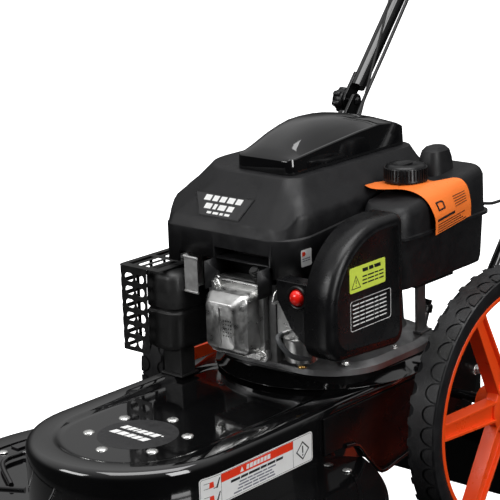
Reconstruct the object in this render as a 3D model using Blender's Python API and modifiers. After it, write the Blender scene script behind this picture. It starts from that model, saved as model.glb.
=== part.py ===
"""Walk-behind wheeled string trimmer (brush mower) with a vertical-shaft engine.

Built in metres, +Z up.  The machine's front faces -Y and its left side is +X.  Every piece is
placed from the trimmer head's own axis, which stands at (0, HEAD_Y) under the root empty.
"""
import math

import bmesh
import bpy
from mathutils import Vector

# ---------------------------------------------------------------- driving dimensions
GAP = 0.0003                    # clearance left between touching neighbours

WHEEL_R = 0.203                 # 16 inch wheel
WHEEL_SEAT_R = 0.1748           # where the tyre sits on the rim
WHEEL_W = 0.0457
WHEEL_X = 0.25365               # middle plane of a wheel
WHEEL_Y = 0.4896
SPOKES = 6
SPOKE_TURN = 57.0               # degrees from +Y to the first spoke
HUB_R = 0.023
HUB_IN_X = 0.222
HUB_OUT_X = 0.2840
AXLE_R = 0.0075
BEARING_PLAY = 0.00019          # more than the flat of a round face that is made of sides

PAN_R = 0.150                   # nose radius and half width of the belt cover
PAN_LOW_Z = 0.1603
PAN_RIM_Z = 0.2550
PAN_PANEL_Z = 0.2505            # sunken top panel
PAN_PANEL_R = 0.103
PAN_BACK_Y = 0.600
PAN_WALL = 0.0025
PAN_EDGE = 0.012                # rounding of the cover's top edge

PLATE_T = 0.004                 # frame side plates
PLATE_X = PAN_R + GAP

GUARD_R = 0.333
GUARD_TOP_Z = 0.160
GUARD_T = 0.0025
GUARD_LIP = 0.020
SKIRT_LOW_Z = 0.062
SKIRT_T = 0.0035

FLAP_Y = 0.556
FLAP_HALF = 0.2130
FLAP_LOW_Z = 0.028

HEAD_R = 0.062
HEAD_TOP_Z = 0.104
HEAD_LOW_Z = 0.0606
BALL_R = 0.060
BALL_TOP_Z = 0.0603
LINE_R = 0.002
CUT_R = GUARD_R - 0.058          # the line's tip stays clear of the skirt
LINE_Z = 0.080
SPINDLE_R = 0.010

CRANK_Y = 0.400                 # crankshaft axis behind the head axis
CRANK_R = 0.0127
BELT_Z = 0.192
BELT_H = 0.010
BELT_T = 0.008
DRIVE_R = 0.036                 # bottom radius of the drive pulley's groove
SPINDLE_PULLEY_R = 0.046
PULLEY_LIP = 0.010
PULLEY_H = 0.022
IDLER_R = 0.020
IDLER_OFF = 0.014               # idler's gap to the belt while the clutch is open
IDLER_Y = 0.210
IDLER_PIVOT = (0.104, 0.300)
ARM_Z = 0.214

DISH_R = 0.160
DISH_TOP_Z = 0.272
SUMP_TOP_Z = 0.289
CASE_TOP_Z = 0.405
CASE_FRONT_Y = 0.297
BLOCK_FRONT_Y = 0.218
BLOCK_HALF = 0.062
FIN_COUNT = 6
CYLINDER_Z = 0.358
COVER_FRONT_Y = 0.170

BOWL_R = 0.0255                 # carburettor float bowl

MUFFLER_LOW = (-0.190, 0.180, 0.292)
MUFFLER_HIGH = (-0.098, 0.296, 0.414)
SHIELD_GAP = 0.006              # between muffler and its perforated guard
SHEET_T = 0.0015

FILTER_LEFT_X = 0.195
FILTER_SPLIT_X = 0.150
FILTER_RIGHT_X = 0.084
FILTER_FRONT_Y = 0.172
FILTER_BACK_Y = 0.338
FILTER_TOP_Z = 0.513
FILTER_LOW_Z = 0.330
FILTER_WALL = 0.0025
BULB_X = 0.130
BULB_Z = 0.417
BULB_R = 0.0125
BULB_STROKE = 0.006

TANK_RIGHT_X = 0.106
TANK_LEFT_X = 0.188
TANK_FRONT_Y = 0.345
TANK_BACK_Y = 0.572
TANK_LOW_Z = 0.390
TANK_TOP_Z = 0.507              # at the tank's front; the top rises backwards
TANK_RISE = 0.145
CAP_X = 0.1235
CAP_Y = 0.440
CAP_R = 0.0315
CAP_H = 0.024
NECK_R = 0.021
NECK_TOP_Z = 0.5292

SHROUD_RIGHT_X = -0.141
SHROUD_LEFT_X = 0.101
SHROUD_FRONT_Y = 0.213
SHROUD_BACK_Y = 0.572
SHROUD_LOW_Z = 0.424
SHROUD_TOP_Z = 0.557
SHROUD_WALL = 0.003
RECOIL_HALF = 0.0516
RECOIL_FRONT_Y = 0.2726
RECOIL_BACK_Y = 0.5406
RECOIL_TOP_Z = 0.6228
FLYWHEEL_R = 0.086
REEL_R = RECOIL_HALF - 0.0096    # the reel stays clear of its cover

TUBE_R = 0.0125                 # 25 mm handle tube
ARM_X = 0.195
FOLD_Y = 0.728
FOLD_Z = 0.569
SLOPE = math.radians(49.5)
ARM_LONG = 0.560                # fold bolt to crossbar
ARM_BEND = 0.070
GRIP_R = 0.0165
GRIP_HALF = 0.060
BAIL_R = 0.004
BAIL_DROP = 0.105               # bail pivot, measured down the arm from the crossbar
BAIL_REACH = 0.100
BAIL_RISE = 0.050
KNOB_R = 0.021
ROPE_R = 0.002
CABLE_R = 0.003
CABLE_STEP = 0.034              # spacing of the points along a cable

SEG_BIG = 40
SEG = 20
SEG_SMALL = 12

MACHINE_BACK_Y = FOLD_Y + ARM_LONG * math.cos(SLOPE) + GRIP_R
HEAD_Y = (GUARD_R - MACHINE_BACK_Y) / 2         # puts the whole machine's box on the origin
ALONG = Vector((0.0, math.cos(SLOPE), math.sin(SLOPE)))      # up the handle
ABOVE = Vector((0.0, -math.sin(SLOPE), math.cos(SLOPE)))     # off the handle's front face

# ---------------------------------------------------------------- scene and materials
for old in list(bpy.data.objects):
    bpy.data.objects.remove(old, do_unlink=True)

PARTS = bpy.data.collections.new("brush_mower")
CUTTERS = bpy.data.collections.new("cutters")
bpy.context.scene.collection.children.link(PARTS)
bpy.context.scene.collection.children.link(CUTTERS)

ROOT = bpy.data.objects.new("machine", None)
ROOT.location = (0.0, HEAD_Y, 0.0)
PARTS.objects.link(ROOT)


def make_material(name, colour, roughness, metallic=0.0):
    material = bpy.data.materials.new(name)
    material.use_nodes = True
    shader = material.node_tree.nodes["Principled BSDF"]
    shader.inputs["Base Color"].default_value = (*colour, 1.0)
    shader.inputs["Roughness"].default_value = roughness
    shader.inputs["Metallic"].default_value = metallic
    return material


GLOSS_BLACK = make_material("gloss_black_paint", (0.012, 0.012, 0.013), 0.12)
SATIN_BLACK = make_material("satin_black_plastic", (0.022, 0.022, 0.024), 0.42)
MATTE_BLACK = make_material("matte_black_plastic", (0.030, 0.030, 0.031), 0.60)
PIANO_BLACK = make_material("piano_black_plastic", (0.010, 0.010, 0.011), 0.06)
ORANGE = make_material("orange_plastic", (0.90, 0.085, 0.008), 0.38)
RED = make_material("red_bulb", (0.85, 0.030, 0.010), 0.25)
RUBBER = make_material("rubber", (0.026, 0.026, 0.027), 0.72)
TYRE = make_material("tyre", (0.028, 0.028, 0.029), 0.66)
CAST = make_material("cast_aluminium", (0.60, 0.60, 0.58), 0.36, 1.0)
STEEL = make_material("zinc_steel", (0.66, 0.66, 0.66), 0.28, 1.0)
HOT_BLACK = make_material("heat_paint_black", (0.016, 0.016, 0.016), 0.46)
LINE_ORANGE = make_material("trimmer_line", (0.80, 0.12, 0.01), 0.35)
FOAM = make_material("foam_grip", (0.020, 0.020, 0.020), 0.85)


# ---------------------------------------------------------------- shape helpers
def add_object(name, mesh, material, collection=PARTS):
    obj = bpy.data.objects.new(name, mesh)
    collection.objects.link(obj)
    obj.parent = ROOT
    if collection is CUTTERS:
        obj.hide_render = True
        obj.display_type = "WIRE"
        return obj
    obj.data.materials.clear()
    obj.data.materials.append(material)
    return obj


def from_bmesh(name, bm, material, collection=PARTS):
    mesh = bpy.data.meshes.new(name)
    bm.to_mesh(mesh)
    bm.free()
    return add_object(name, mesh, material, collection)


def shade(obj, degrees=35.0):
    obj.data.shade_smooth()
    obj.data.set_sharp_from_angle(angle=math.radians(degrees))
    return obj


def bevel(obj, width, segments=2, degrees=40.0):
    rounding = obj.modifiers.new("Bevel", "BEVEL")
    rounding.width = width
    rounding.segments = segments
    rounding.limit_method = "ANGLE"
    rounding.angle_limit = math.radians(degrees)
    return obj


def box(name, low, high, material, rounding=0.0, collection=PARTS):
    bm = bmesh.new()
    bmesh.ops.create_cube(bm, size=1.0)
    size = Vector(high) - Vector(low)
    bmesh.ops.scale(bm, vec=size, verts=bm.verts)
    bmesh.ops.translate(bm, vec=(Vector(low) + Vector(high)) / 2, verts=bm.verts)
    obj = from_bmesh(name, bm, material, collection)
    if rounding:
        bevel(obj, rounding)
    return obj


def rod(name, start, end, radius, material, segments=SEG, collection=PARTS):
    """A straight round bar from one point to another."""
    start, end = Vector(start), Vector(end)
    span = end - start
    bm = bmesh.new()
    bmesh.ops.create_cone(bm, cap_ends=True, segments=segments, radius1=radius, radius2=radius,
                          depth=span.length)
    turn = Vector((0, 0, 1)).rotation_difference(span.normalized()).to_matrix()
    bmesh.ops.rotate(bm, cent=(0, 0, 0), matrix=turn, verts=bm.verts)
    bmesh.ops.translate(bm, vec=(start + end) / 2, verts=bm.verts)
    obj = from_bmesh(name, bm, material, collection)
    return shade(obj) if collection is PARTS else obj


def turned(name, profile, centre, material, segments=SEG, axis="Z", closed=False,
           collection=PARTS):
    """A turned piece: (radius, height) points run down its outer side, top to bottom."""
    mesh = bpy.data.meshes.new(name)
    edges = [(i, i + 1) for i in range(len(profile) - 1)]
    if closed:
        edges.append((len(profile) - 1, 0))
    mesh.from_pydata([(radius, 0.0, height) for radius, height in profile], edges, [])
    obj = add_object(name, mesh, material, collection)
    screw = obj.modifiers.new("Screw", "SCREW")
    screw.steps = segments
    screw.render_steps = segments
    screw.use_merge_vertices = True
    screw.merge_threshold = 0.00001
    obj.location = centre
    if axis == "X":
        obj.rotation_euler = (0.0, math.radians(90.0), 0.0)
    if axis == "Y":
        obj.rotation_euler = (math.radians(-90.0), 0.0, 0.0)
    return obj


def ring(points, height):
    return [Vector((x, y, height)) for x, y in points]


def rounded_rect(low, high, radius, height, corner=4):
    """Ring of points around a rectangle whose corners are arcs.

    One radius, or four: back left, back right, front right and front left.
    """
    radii = radius if isinstance(radius, tuple) else (radius,) * 4
    signs = ((1, 1), (-1, 1), (-1, -1), (1, -1))
    points = []
    for quarter, (r, (sx, sy)) in enumerate(zip(radii, signs)):
        cx = (high[0] if sx > 0 else low[0]) - sx * r
        cy = (high[1] if sy > 0 else low[1]) - sy * r
        points += arc((cx, cy), r, 90.0 * quarter, 90.0 * quarter + 90.0, corner)
    return ring(points, height)


def loft(name, rings, material, wall=0.0, open_low=False, collection=PARTS):
    """Skin rings of equal length from the lowest to the highest, with flat ends."""
    bm = bmesh.new()
    rows = [[bm.verts.new(point) for point in points] for points in rings]
    for low, high in zip(rows, rows[1:]):
        for i in range(len(low)):
            j = (i + 1) % len(low)
            bm.faces.new((low[i], low[j], high[j], high[i]))
    if not open_low:
        bm.faces.new(list(reversed(rows[0])))
    bm.faces.new(rows[-1])
    bmesh.ops.recalc_face_normals(bm, faces=bm.faces)
    obj = from_bmesh(name, bm, material, collection)
    if wall:
        shell = obj.modifiers.new("Solidify", "SOLIDIFY")
        shell.thickness = wall
        shell.offset = -1.0
        shell.use_even_offset = True
    return shade(obj) if collection is PARTS else obj


def plate(name, outline, low, high, material, axis="Z", collection=PARTS):
    """A flat outline given thickness between two planes along an axis.

    The outline's pairs are (x, y) for axis Z, (y, z) for axis X and (x, z) for axis Y.
    """
    bm = bmesh.new()
    places = {"Z": lambda p: (p[0], p[1], low), "X": lambda p: (low, p[0], p[1]),
              "Y": lambda p: (p[0], low, p[1])}
    pushes = {"Z": (0, 0, high - low), "X": (high - low, 0, 0), "Y": (0, high - low, 0)}
    face = bm.faces.new([bm.verts.new(places[axis](point)) for point in outline])
    made = bmesh.ops.extrude_face_region(bm, geom=[face])
    moved = [item for item in made["geom"] if isinstance(item, bmesh.types.BMVert)]
    bmesh.ops.translate(bm, vec=pushes[axis], verts=moved)
    bmesh.ops.recalc_face_normals(bm, faces=bm.faces)
    return from_bmesh(name, bm, material, collection)


def arc(centre, radius, start, end, steps):
    """Points on an arc, angles in degrees."""
    points = []
    for step in range(steps + 1):
        angle = math.radians(start + (end - start) * step / steps)
        points.append((centre[0] + radius * math.cos(angle), centre[1] + radius * math.sin(angle)))
    return points


def smooth_path(points, spacing):
    """Evenly spaced points on a Catmull-Rom curve through the given ones."""
    route = [Vector(p) for p in points]
    route = [2 * route[0] - route[1]] + route + [2 * route[-1] - route[-2]]
    path = []
    for a, b, c, d in zip(route, route[1:], route[2:], route[3:]):
        count = max(1, round((c - b).length / spacing))
        for step in range(count):
            t = step / count
            path.append(0.5 * (2 * b + (c - a) * t + (2 * a - 5 * b + 4 * c - d) * t ** 2
                               + (3 * b - a - 3 * c + d) * t ** 3))
    path.append(route[-2])
    return path


def rounded_path(points, radius, steps=5):
    """A polyline whose inner corners are arcs of the given bend radius."""
    route = [Vector(p) for p in points]
    path = [route[0]]
    for before, corner, after in zip(route, route[1:], route[2:]):
        to_start = (before - corner).normalized()
        to_end = (after - corner).normalized()
        half = to_start.angle(to_end) / 2
        reach = radius / math.tan(half)
        centre = corner + (to_start + to_end).normalized() * radius / math.sin(half)
        first = corner + to_start * reach - centre
        last = corner + to_end * reach - centre
        for step in range(steps + 1):
            share = step / steps
            path.append(centre + first.normalized().slerp(last.normalized(), share)
                        * first.length)
    path.append(route[-1])
    return path


def tube(name, path, radius, material, resolution=2, collection=PARTS):
    """A round tube or wire along a path, as a closed mesh."""
    curve = bpy.data.curves.new(name + "_route", "CURVE")
    curve.dimensions = "3D"
    curve.bevel_depth = radius
    curve.bevel_resolution = resolution
    curve.use_fill_caps = True
    spline = curve.splines.new("POLY")
    spline.points.add(len(path) - 1)
    for point, place in zip(spline.points, path):
        point.co = (*place, 1.0)
    guide = bpy.data.objects.new(name + "_guide", curve)
    CUTTERS.objects.link(guide)
    bpy.context.view_layer.update()
    shape = guide.evaluated_get(bpy.context.evaluated_depsgraph_get())
    mesh = bpy.data.meshes.new_from_object(shape)
    bpy.data.objects.remove(guide, do_unlink=True)
    mesh.name = name
    bm = bmesh.new()
    bm.from_mesh(mesh)
    bmesh.ops.remove_doubles(bm, verts=bm.verts, dist=0.00001)
    bmesh.ops.recalc_face_normals(bm, faces=bm.faces)
    bm.to_mesh(mesh)
    bm.free()
    obj = add_object(name, mesh, material, collection)
    return shade(obj) if collection is PARTS else obj


def combine(obj, tool, operation):
    change = obj.modifiers.new("Boolean", "BOOLEAN")
    change.operation = operation
    change.object = tool
    return obj


def cut(obj, *tools):
    for tool in tools:
        combine(obj, tool, "DIFFERENCE")
    return obj


def join(obj, *tools):
    for tool in tools:
        combine(obj, tool, "UNION")
    return obj


# ---------------------------------------------------------------- running gear
def build_wheel(side, sign):
    half = WHEEL_W / 2
    seat = WHEEL_SEAT_R + GAP
    centre = (sign * WHEEL_X, WHEEL_Y, WHEEL_R)
    tread = [(seat, half - 0.004), (seat + 0.008, half), (WHEEL_R - 0.0024, half),
             (WHEEL_R, half - 0.012)]
    profile = tread + [(radius, -height) for radius, height in reversed(tread)]
    turned("tyre_" + side, profile, centre, TYRE, SEG_BIG, "X", closed=True)

    rim_half = half - 0.0045
    rim = [(WHEEL_SEAT_R, rim_half), (WHEEL_SEAT_R, -rim_half), (WHEEL_SEAT_R - 0.006, -rim_half),
           (WHEEL_SEAT_R - 0.009, 0.0), (WHEEL_SEAT_R - 0.006, rim_half)]
    wheel = turned("wheel_" + side, rim, centre, ORANGE, SEG_BIG, "X", closed=True)
    hub = rod("hub_" + side, (sign * HUB_IN_X, WHEEL_Y, WHEEL_R),
              (sign * HUB_OUT_X, WHEEL_Y, WHEEL_R), HUB_R, ORANGE, SEG, CUTTERS)
    join(wheel, hub)
    for number in range(SPOKES):
        join(wheel, build_spoke(side, sign, number))
    cut(wheel, rod("axle_bore_" + side, (sign * (HUB_IN_X - 0.01), WHEEL_Y, WHEEL_R),
                   (sign * (HUB_OUT_X + 0.01), WHEEL_Y, WHEEL_R), AXLE_R + BEARING_PLAY,
                   ORANGE, SEG, CUTTERS))


def build_spoke(side, sign, number):
    """One tapered spoke of a moulded wheel, from inside the hub to inside the rim."""
    angle = math.radians(SPOKE_TURN + 360.0 * number / SPOKES)
    out = Vector((math.cos(angle), math.sin(angle)))
    across = Vector((-out.y, out.x))
    axle = Vector((WHEEL_Y, WHEEL_R))
    root, tip = HUB_R * 0.70, WHEEL_SEAT_R - 0.0045
    corners = [axle + out * root + across * 0.016, axle + out * root - across * 0.016,
               axle + out * tip - across * 0.0125, axle + out * tip + across * 0.0125]
    middle = sign * (WHEEL_X + 0.006)
    return plate(f"spoke_{side}_{number}", corners, middle - 0.011, middle + 0.011, ORANGE,
                 "X", CUTTERS)


def build_axle():
    end = HUB_OUT_X - 0.0005
    rod("axle_rod", (-end, WHEEL_Y, WHEEL_R), (end, WHEEL_Y, WHEEL_R), AXLE_R, GLOSS_BLACK)


def axle_hole(name):
    reach = PLATE_X + PLATE_T + 0.01
    return rod(name, (-reach, WHEEL_Y, WHEEL_R), (reach, WHEEL_Y, WHEEL_R), AXLE_R + GAP,
               GLOSS_BLACK, SEG, CUTTERS)


# ---------------------------------------------------------------- belt cover and frame
def cover_outline(radius, back_y, height, corner=0.010):
    """Nose arc about the head axis, straight sides and a squared back, as a ring."""
    points = arc((0.0, 0.0), radius, 180.0, 360.0, 16)
    points += arc((radius - corner, back_y - corner), corner, 0.0, 90.0, 3)
    points += arc((corner - radius, back_y - corner), corner, 90.0, 180.0, 3)
    return ring(points, height)


def build_deck_pan():
    side_top = PAN_RIM_Z - PAN_EDGE
    rings = [cover_outline(PAN_R, PAN_BACK_Y, PAN_LOW_Z),
             cover_outline(PAN_R, PAN_BACK_Y, side_top)]
    for angle in (45.0, 90.0):
        inset = PAN_EDGE * (1.0 - math.cos(math.radians(angle)))
        rise = PAN_EDGE * math.sin(math.radians(angle))
        rings.append(cover_outline(PAN_R - inset, PAN_BACK_Y - inset, side_top + rise))
    panel_back = CRANK_Y - DISH_R * 0.80
    rings.append(cover_outline(PAN_PANEL_R + 0.010, panel_back + 0.010, PAN_RIM_Z, 0.03))
    rings.append(cover_outline(PAN_PANEL_R, panel_back, PAN_PANEL_Z, 0.03))
    pan = loft("deck_pan", rings, GLOSS_BLACK, PAN_WALL, open_low=True)
    crank_hole = rod("crank_hole", (0, CRANK_Y, PAN_LOW_Z), (0, CRANK_Y, PAN_RIM_Z + 0.01),
                     CRANK_R + 0.009, GLOSS_BLACK, SEG, CUTTERS)
    cut(pan, crank_hole, axle_hole("pan_axle_hole"))


def build_frame_side(side, sign):
    """Deep plate outside the cover's rear wall; it carries the axle and a handle tube."""
    top = PAN_RIM_Z - PAN_EDGE
    outline = [(0.205, 0.190), (0.250, 0.190), (0.280, 0.184), (0.305, 0.152), (0.325, 0.131),
               (0.340, 0.126), (0.377, 0.132), (0.440, 0.140), (0.530, 0.142), (0.560, 0.152),
               (0.572, 0.184), (0.604, 0.288), (0.596, 0.304), (0.580, 0.312), (0.486, 0.312),
               (0.475, 0.304), (0.469, top), (0.205, top)]
    low = sign * PLATE_X
    high = sign * (PLATE_X + PLATE_T)
    side_plate = plate("frame_side_" + side, outline, min(low, high), max(low, high),
                       GLOSS_BLACK, "X")
    cut(side_plate, axle_hole("plate_axle_hole_" + side))


def build_guard():
    top, low = GUARD_TOP_Z, GUARD_TOP_Z - GUARD_T
    inner = GUARD_R - GUARD_T
    profile = [(0.034, top), (GUARD_R - 0.004, top), (GUARD_R, top - 0.004),
               (GUARD_R, top - GUARD_LIP), (inner, top - GUARD_LIP), (inner - 0.003, low),
               (0.034, low)]
    turned("trimmer_guard", profile, (0, 0, 0), GLOSS_BLACK, 48, closed=True)


def build_guard_skirt():
    """Deep black skirt hung inside the guard's lip, open across the front."""
    outer = GUARD_R - GUARD_T - 0.0045
    outline = arc((0, 0), outer, -14.0, 194.0, 28)
    outline += arc((0, 0), outer - SKIRT_T, 194.0, -14.0, 28)
    plate("guard_skirt", outline, SKIRT_LOW_Z, GUARD_TOP_Z - GUARD_T - GAP, RUBBER)


def build_rear_flap():
    """Sheet behind the axle that keeps thrown grass off the operator's feet."""
    half, knee = FLAP_HALF, PAN_R - 0.004
    outline = [(-half, FLAP_LOW_Z), (half, FLAP_LOW_Z), (half, 0.128), (half - 0.012, 0.138),
               (knee, 0.138), (knee, 0.158), (-knee, 0.158), (-knee, 0.138),
               (0.012 - half, 0.138), (-half, 0.128)]
    flap = plate("rear_flap", outline, FLAP_Y, FLAP_Y + 0.003, GLOSS_BLACK, "Y")
    for sign in (-1, 1):
        low, high = sorted((sign * (PLATE_X - 0.001), sign * (PLATE_X + PLATE_T + 0.001)))
        slot = box(f"flap_slot_{sign}", (low, FLAP_Y - 0.01, 0.138), (high, FLAP_Y + 0.01, 0.17),
                   GLOSS_BLACK, 0.0, CUTTERS)
        cut(flap, slot)


def build_dish():
    """Round pressing that lifts the engine off the belt cover."""
    low = PAN_RIM_Z + GAP
    top = DISH_TOP_Z
    hole = CRANK_R + 0.009
    profile = [(hole, top), (DISH_R - 0.020, top), (DISH_R - 0.012, top - 0.003),
               (DISH_R - 0.002, low + 0.003), (DISH_R + 0.004, low), (DISH_R - 0.006, low),
               (DISH_R - 0.014, top - 0.006), (hole, top - 0.004)]
    turned("engine_dish", profile, (0, CRANK_Y, 0), GLOSS_BLACK, 32, closed=True)


# ---------------------------------------------------------------- belt drive
def pulley(name, groove_r, bore_r, centre, material):
    half = PULLEY_H / 2
    lip = groove_r + PULLEY_LIP
    groove = BELT_H / 2 + GAP
    profile = [(bore_r, half), (lip, half), (lip, groove + 0.002), (groove_r, groove),
               (groove_r, -groove), (lip, -groove - 0.002), (lip, -half), (bore_r, -half)]
    turned(name, profile, centre, material, SEG, closed=True)


def belt_side(radius_front, radius_back, steps=12):
    """Outline around two circles on the Y axis, joined by straight tangents."""
    lean = math.degrees(math.asin((radius_front - radius_back) / CRANK_Y))
    back = arc((0.0, CRANK_Y), radius_back, lean, 180.0 - lean, steps)
    front = arc((0.0, 0.0), radius_front, 180.0 - lean, 360.0 + lean, steps)
    return back + front


def build_belt_drive():
    pulley("drive_pulley", DRIVE_R, CRANK_R + GAP, (0, CRANK_Y, BELT_Z), STEEL)
    pulley("spindle_pulley", SPINDLE_PULLEY_R, SPINDLE_R + GAP, (0, 0, BELT_Z), STEEL)
    play = 0.0010
    inner = belt_side(SPINDLE_PULLEY_R + play, DRIVE_R + play)
    outer = belt_side(SPINDLE_PULLEY_R + play + BELT_T, DRIVE_R + play + BELT_T)
    low, high = BELT_Z - BELT_H / 2, BELT_Z + BELT_H / 2
    rings = [ring(outer, low), ring(outer, high), ring(inner, high), ring(inner, low)]
    bm = bmesh.new()
    rows = [[bm.verts.new(point) for point in points] for points in rings]
    for a, b in zip(rows, rows[1:] + rows[:1]):
        for i in range(len(a)):
            j = (i + 1) % len(a)
            bm.faces.new((a[i], a[j], b[j], b[i]))
    bmesh.ops.recalc_face_normals(bm, faces=bm.faces)
    from_bmesh("drive_belt", bm, RUBBER)


def idler_centre():
    """Idler axis while the clutch is open, beside the belt's left run."""
    share = IDLER_Y / CRANK_Y
    run = SPINDLE_PULLEY_R + (DRIVE_R - SPINDLE_PULLEY_R) * share + 0.0010 + BELT_T
    return run + IDLER_R + IDLER_OFF, IDLER_Y


def build_idler():
    x, y = idler_centre()
    px, py = IDLER_PIVOT
    half = BELT_H / 2 + 0.001
    lip = IDLER_R + 0.003
    profile = [(0.0053, half + 0.002), (lip, half + 0.002), (IDLER_R, half), (IDLER_R, -half),
               (lip, -half - 0.002), (0.0053, -half - 0.002)]
    turned("idler_pulley", profile, (x, y, BELT_Z), STEEL, SEG, closed=True)
    along = math.degrees(math.atan2(y - py, x - px))
    outline = arc((x, y), 0.013, along - 90.0, along + 90.0, 6)
    outline += arc((px, py), 0.013, along + 90.0, along + 270.0, 6)
    arm = plate("idler_arm", outline, ARM_Z, ARM_Z + 0.004, STEEL)
    pin = rod("idler_pin", (x, y, BELT_Z - half - 0.004), (x, y, ARM_Z + 0.001), 0.0050, STEEL,
              SEG_SMALL, CUTTERS)
    pivot = rod("arm_pivot", (px, py, ARM_Z + 0.001), (px, py, PAN_RIM_Z - PAN_WALL - 0.001),
                0.0080, STEEL, SEG_SMALL, CUTTERS)
    join(arm, pin, pivot)


def build_spindle():
    top = PAN_PANEL_Z - PAN_WALL - GAP
    profile = [(SPINDLE_R + BEARING_PLAY, top), (0.086, top), (0.086, top - 0.006),
               (0.036, top - 0.010), (0.028, top - 0.030), (SPINDLE_R + BEARING_PLAY, top - 0.030)]
    turned("spindle_housing", profile, (0, 0, 0), CAST, SEG, closed=True)
    rod("spindle_shaft", (0, 0, HEAD_TOP_Z - 0.015), (0, 0, top - 0.002), SPINDLE_R, STEEL)


# ---------------------------------------------------------------- cutting head
def build_head():
    top = HEAD_TOP_Z
    bore = SPINDLE_R + GAP
    profile = [(bore, top), (0.030, top), (0.036, top - 0.006), (HEAD_R + 0.012, top - 0.009),
               (HEAD_R + 0.012, top - 0.013), (HEAD_R, top - 0.016), (HEAD_R, HEAD_LOW_Z + 0.004),
               (HEAD_R - 0.004, HEAD_LOW_Z), (0.0, HEAD_LOW_Z)]
    floor = [(0.0, top - 0.015 - GAP), (bore, top - 0.015 - GAP)]
    turned("line_head", floor + profile, (0, 0, 0), MATTE_BLACK, 24)
    for side, sign in (("left", 1), ("right", -1)):
        near = HEAD_R + GAP
        rod("trimmer_line_" + side, (sign * near, 0, LINE_Z), (sign * CUT_R, 0, LINE_Z),
            LINE_R, LINE_ORANGE, 8)


def build_ball():
    """Rounded skid under the head; the machine's front rests on it."""
    profile = [(0.0, BALL_TOP_Z), (BALL_R - 0.004, BALL_TOP_Z), (BALL_R, BALL_TOP_Z - 0.004)]
    for angle in (15.0, 30.0, 45.0, 60.0, 75.0):
        turn = math.radians(angle)
        profile.append((0.020 + 0.040 * math.cos(turn), 0.034 - 0.034 * math.sin(turn)))
    profile += [(0.020, 0.0), (0.0, 0.0)]
    turned("mow_ball", profile, (0, 0, 0), MATTE_BLACK, 24)


# ---------------------------------------------------------------- engine
def crank_bore(name):
    return rod(name, (0, CRANK_Y, DISH_TOP_Z - 0.02), (0, CRANK_Y, CASE_TOP_Z + 0.05),
               CRANK_R + BEARING_PLAY, CAST, SEG, CUTTERS)


def build_crankcase():
    low = DISH_TOP_Z + GAP
    rings = [rounded_rect((-0.142, 0.268), (0.142, 0.532), 0.090, low, 5),
             rounded_rect((-0.142, 0.268), (0.142, 0.532), 0.090, SUMP_TOP_Z - 0.008, 5),
             rounded_rect((-0.134, 0.276), (0.134, 0.524), 0.084, SUMP_TOP_Z, 5),
             rounded_rect((-0.090, CASE_FRONT_Y), (0.090, 0.506), 0.040, SUMP_TOP_Z + 0.012, 5),
             rounded_rect((-0.088, CASE_FRONT_Y), (0.088, 0.502), 0.036, CASE_TOP_Z - 0.006, 5),
             rounded_rect((-0.082, 0.306), (0.082, 0.496), 0.032, CASE_TOP_Z, 5)]
    cut(loft("crankcase", rings, CAST), crank_bore("case_bore"))


def build_cylinder():
    """Finned cylinder lying forwards from the crankcase."""
    back = CASE_FRONT_Y - GAP
    start = BLOCK_FRONT_Y + 0.012
    pitch = (back - 0.012 - start) / FIN_COUNT
    left = [(BLOCK_HALF, BLOCK_FRONT_Y), (BLOCK_HALF, start)]
    for fin in range(FIN_COUNT):
        y = start + fin * pitch
        left += [(BLOCK_HALF - 0.016, y), (BLOCK_HALF - 0.016, y + pitch * 0.55),
                 (BLOCK_HALF, y + pitch * 0.55), (BLOCK_HALF, y + pitch)]
    left += [(BLOCK_HALF - 0.010, back)]
    outline = left + [(-x, y) for x, y in reversed(left)]
    plate("cylinder_block", outline, CYLINDER_Z - 0.056, CYLINDER_Z + 0.056, CAST)


def valve_ring(half_x, half_z, corner, y):
    points = rounded_rect((-half_x, CYLINDER_Z - half_z), (half_x, CYLINDER_Z + half_z), corner,
                          0.0, 3)
    return [Vector((p.x, y, p.y)) for p in points]


def build_valve_cover():
    back = BLOCK_FRONT_Y - GAP
    rings = [valve_ring(0.049, 0.056, 0.010, back), valve_ring(0.049, 0.056, 0.010, back - 0.008),
             valve_ring(0.038, 0.045, 0.010, back - 0.009),
             valve_ring(0.036, 0.043, 0.009, COVER_FRONT_Y + 0.014),
             valve_ring(0.029, 0.036, 0.008, COVER_FRONT_Y)]
    loft("valve_cover", rings, CAST)


def build_spark_plug():
    """Rubber boot on the spark plug, leaning out of the cylinder head's top."""
    foot = Vector((0.030, BLOCK_FRONT_Y + 0.006, CYLINDER_Z + 0.056 + GAP))
    lean = Vector((0.0, -0.55, 0.83)).normalized()
    boot = rod("spark_plug", foot, foot + Vector((0, 0, 0.008)), 0.008, RUBBER, SEG_SMALL)
    neck = foot + Vector((0, 0.004, 0.0055))
    cap = rod("plug_cap", neck, neck + lean * 0.026, 0.0085, RUBBER, SEG_SMALL, CUTTERS)
    join(boot, cap)


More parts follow.
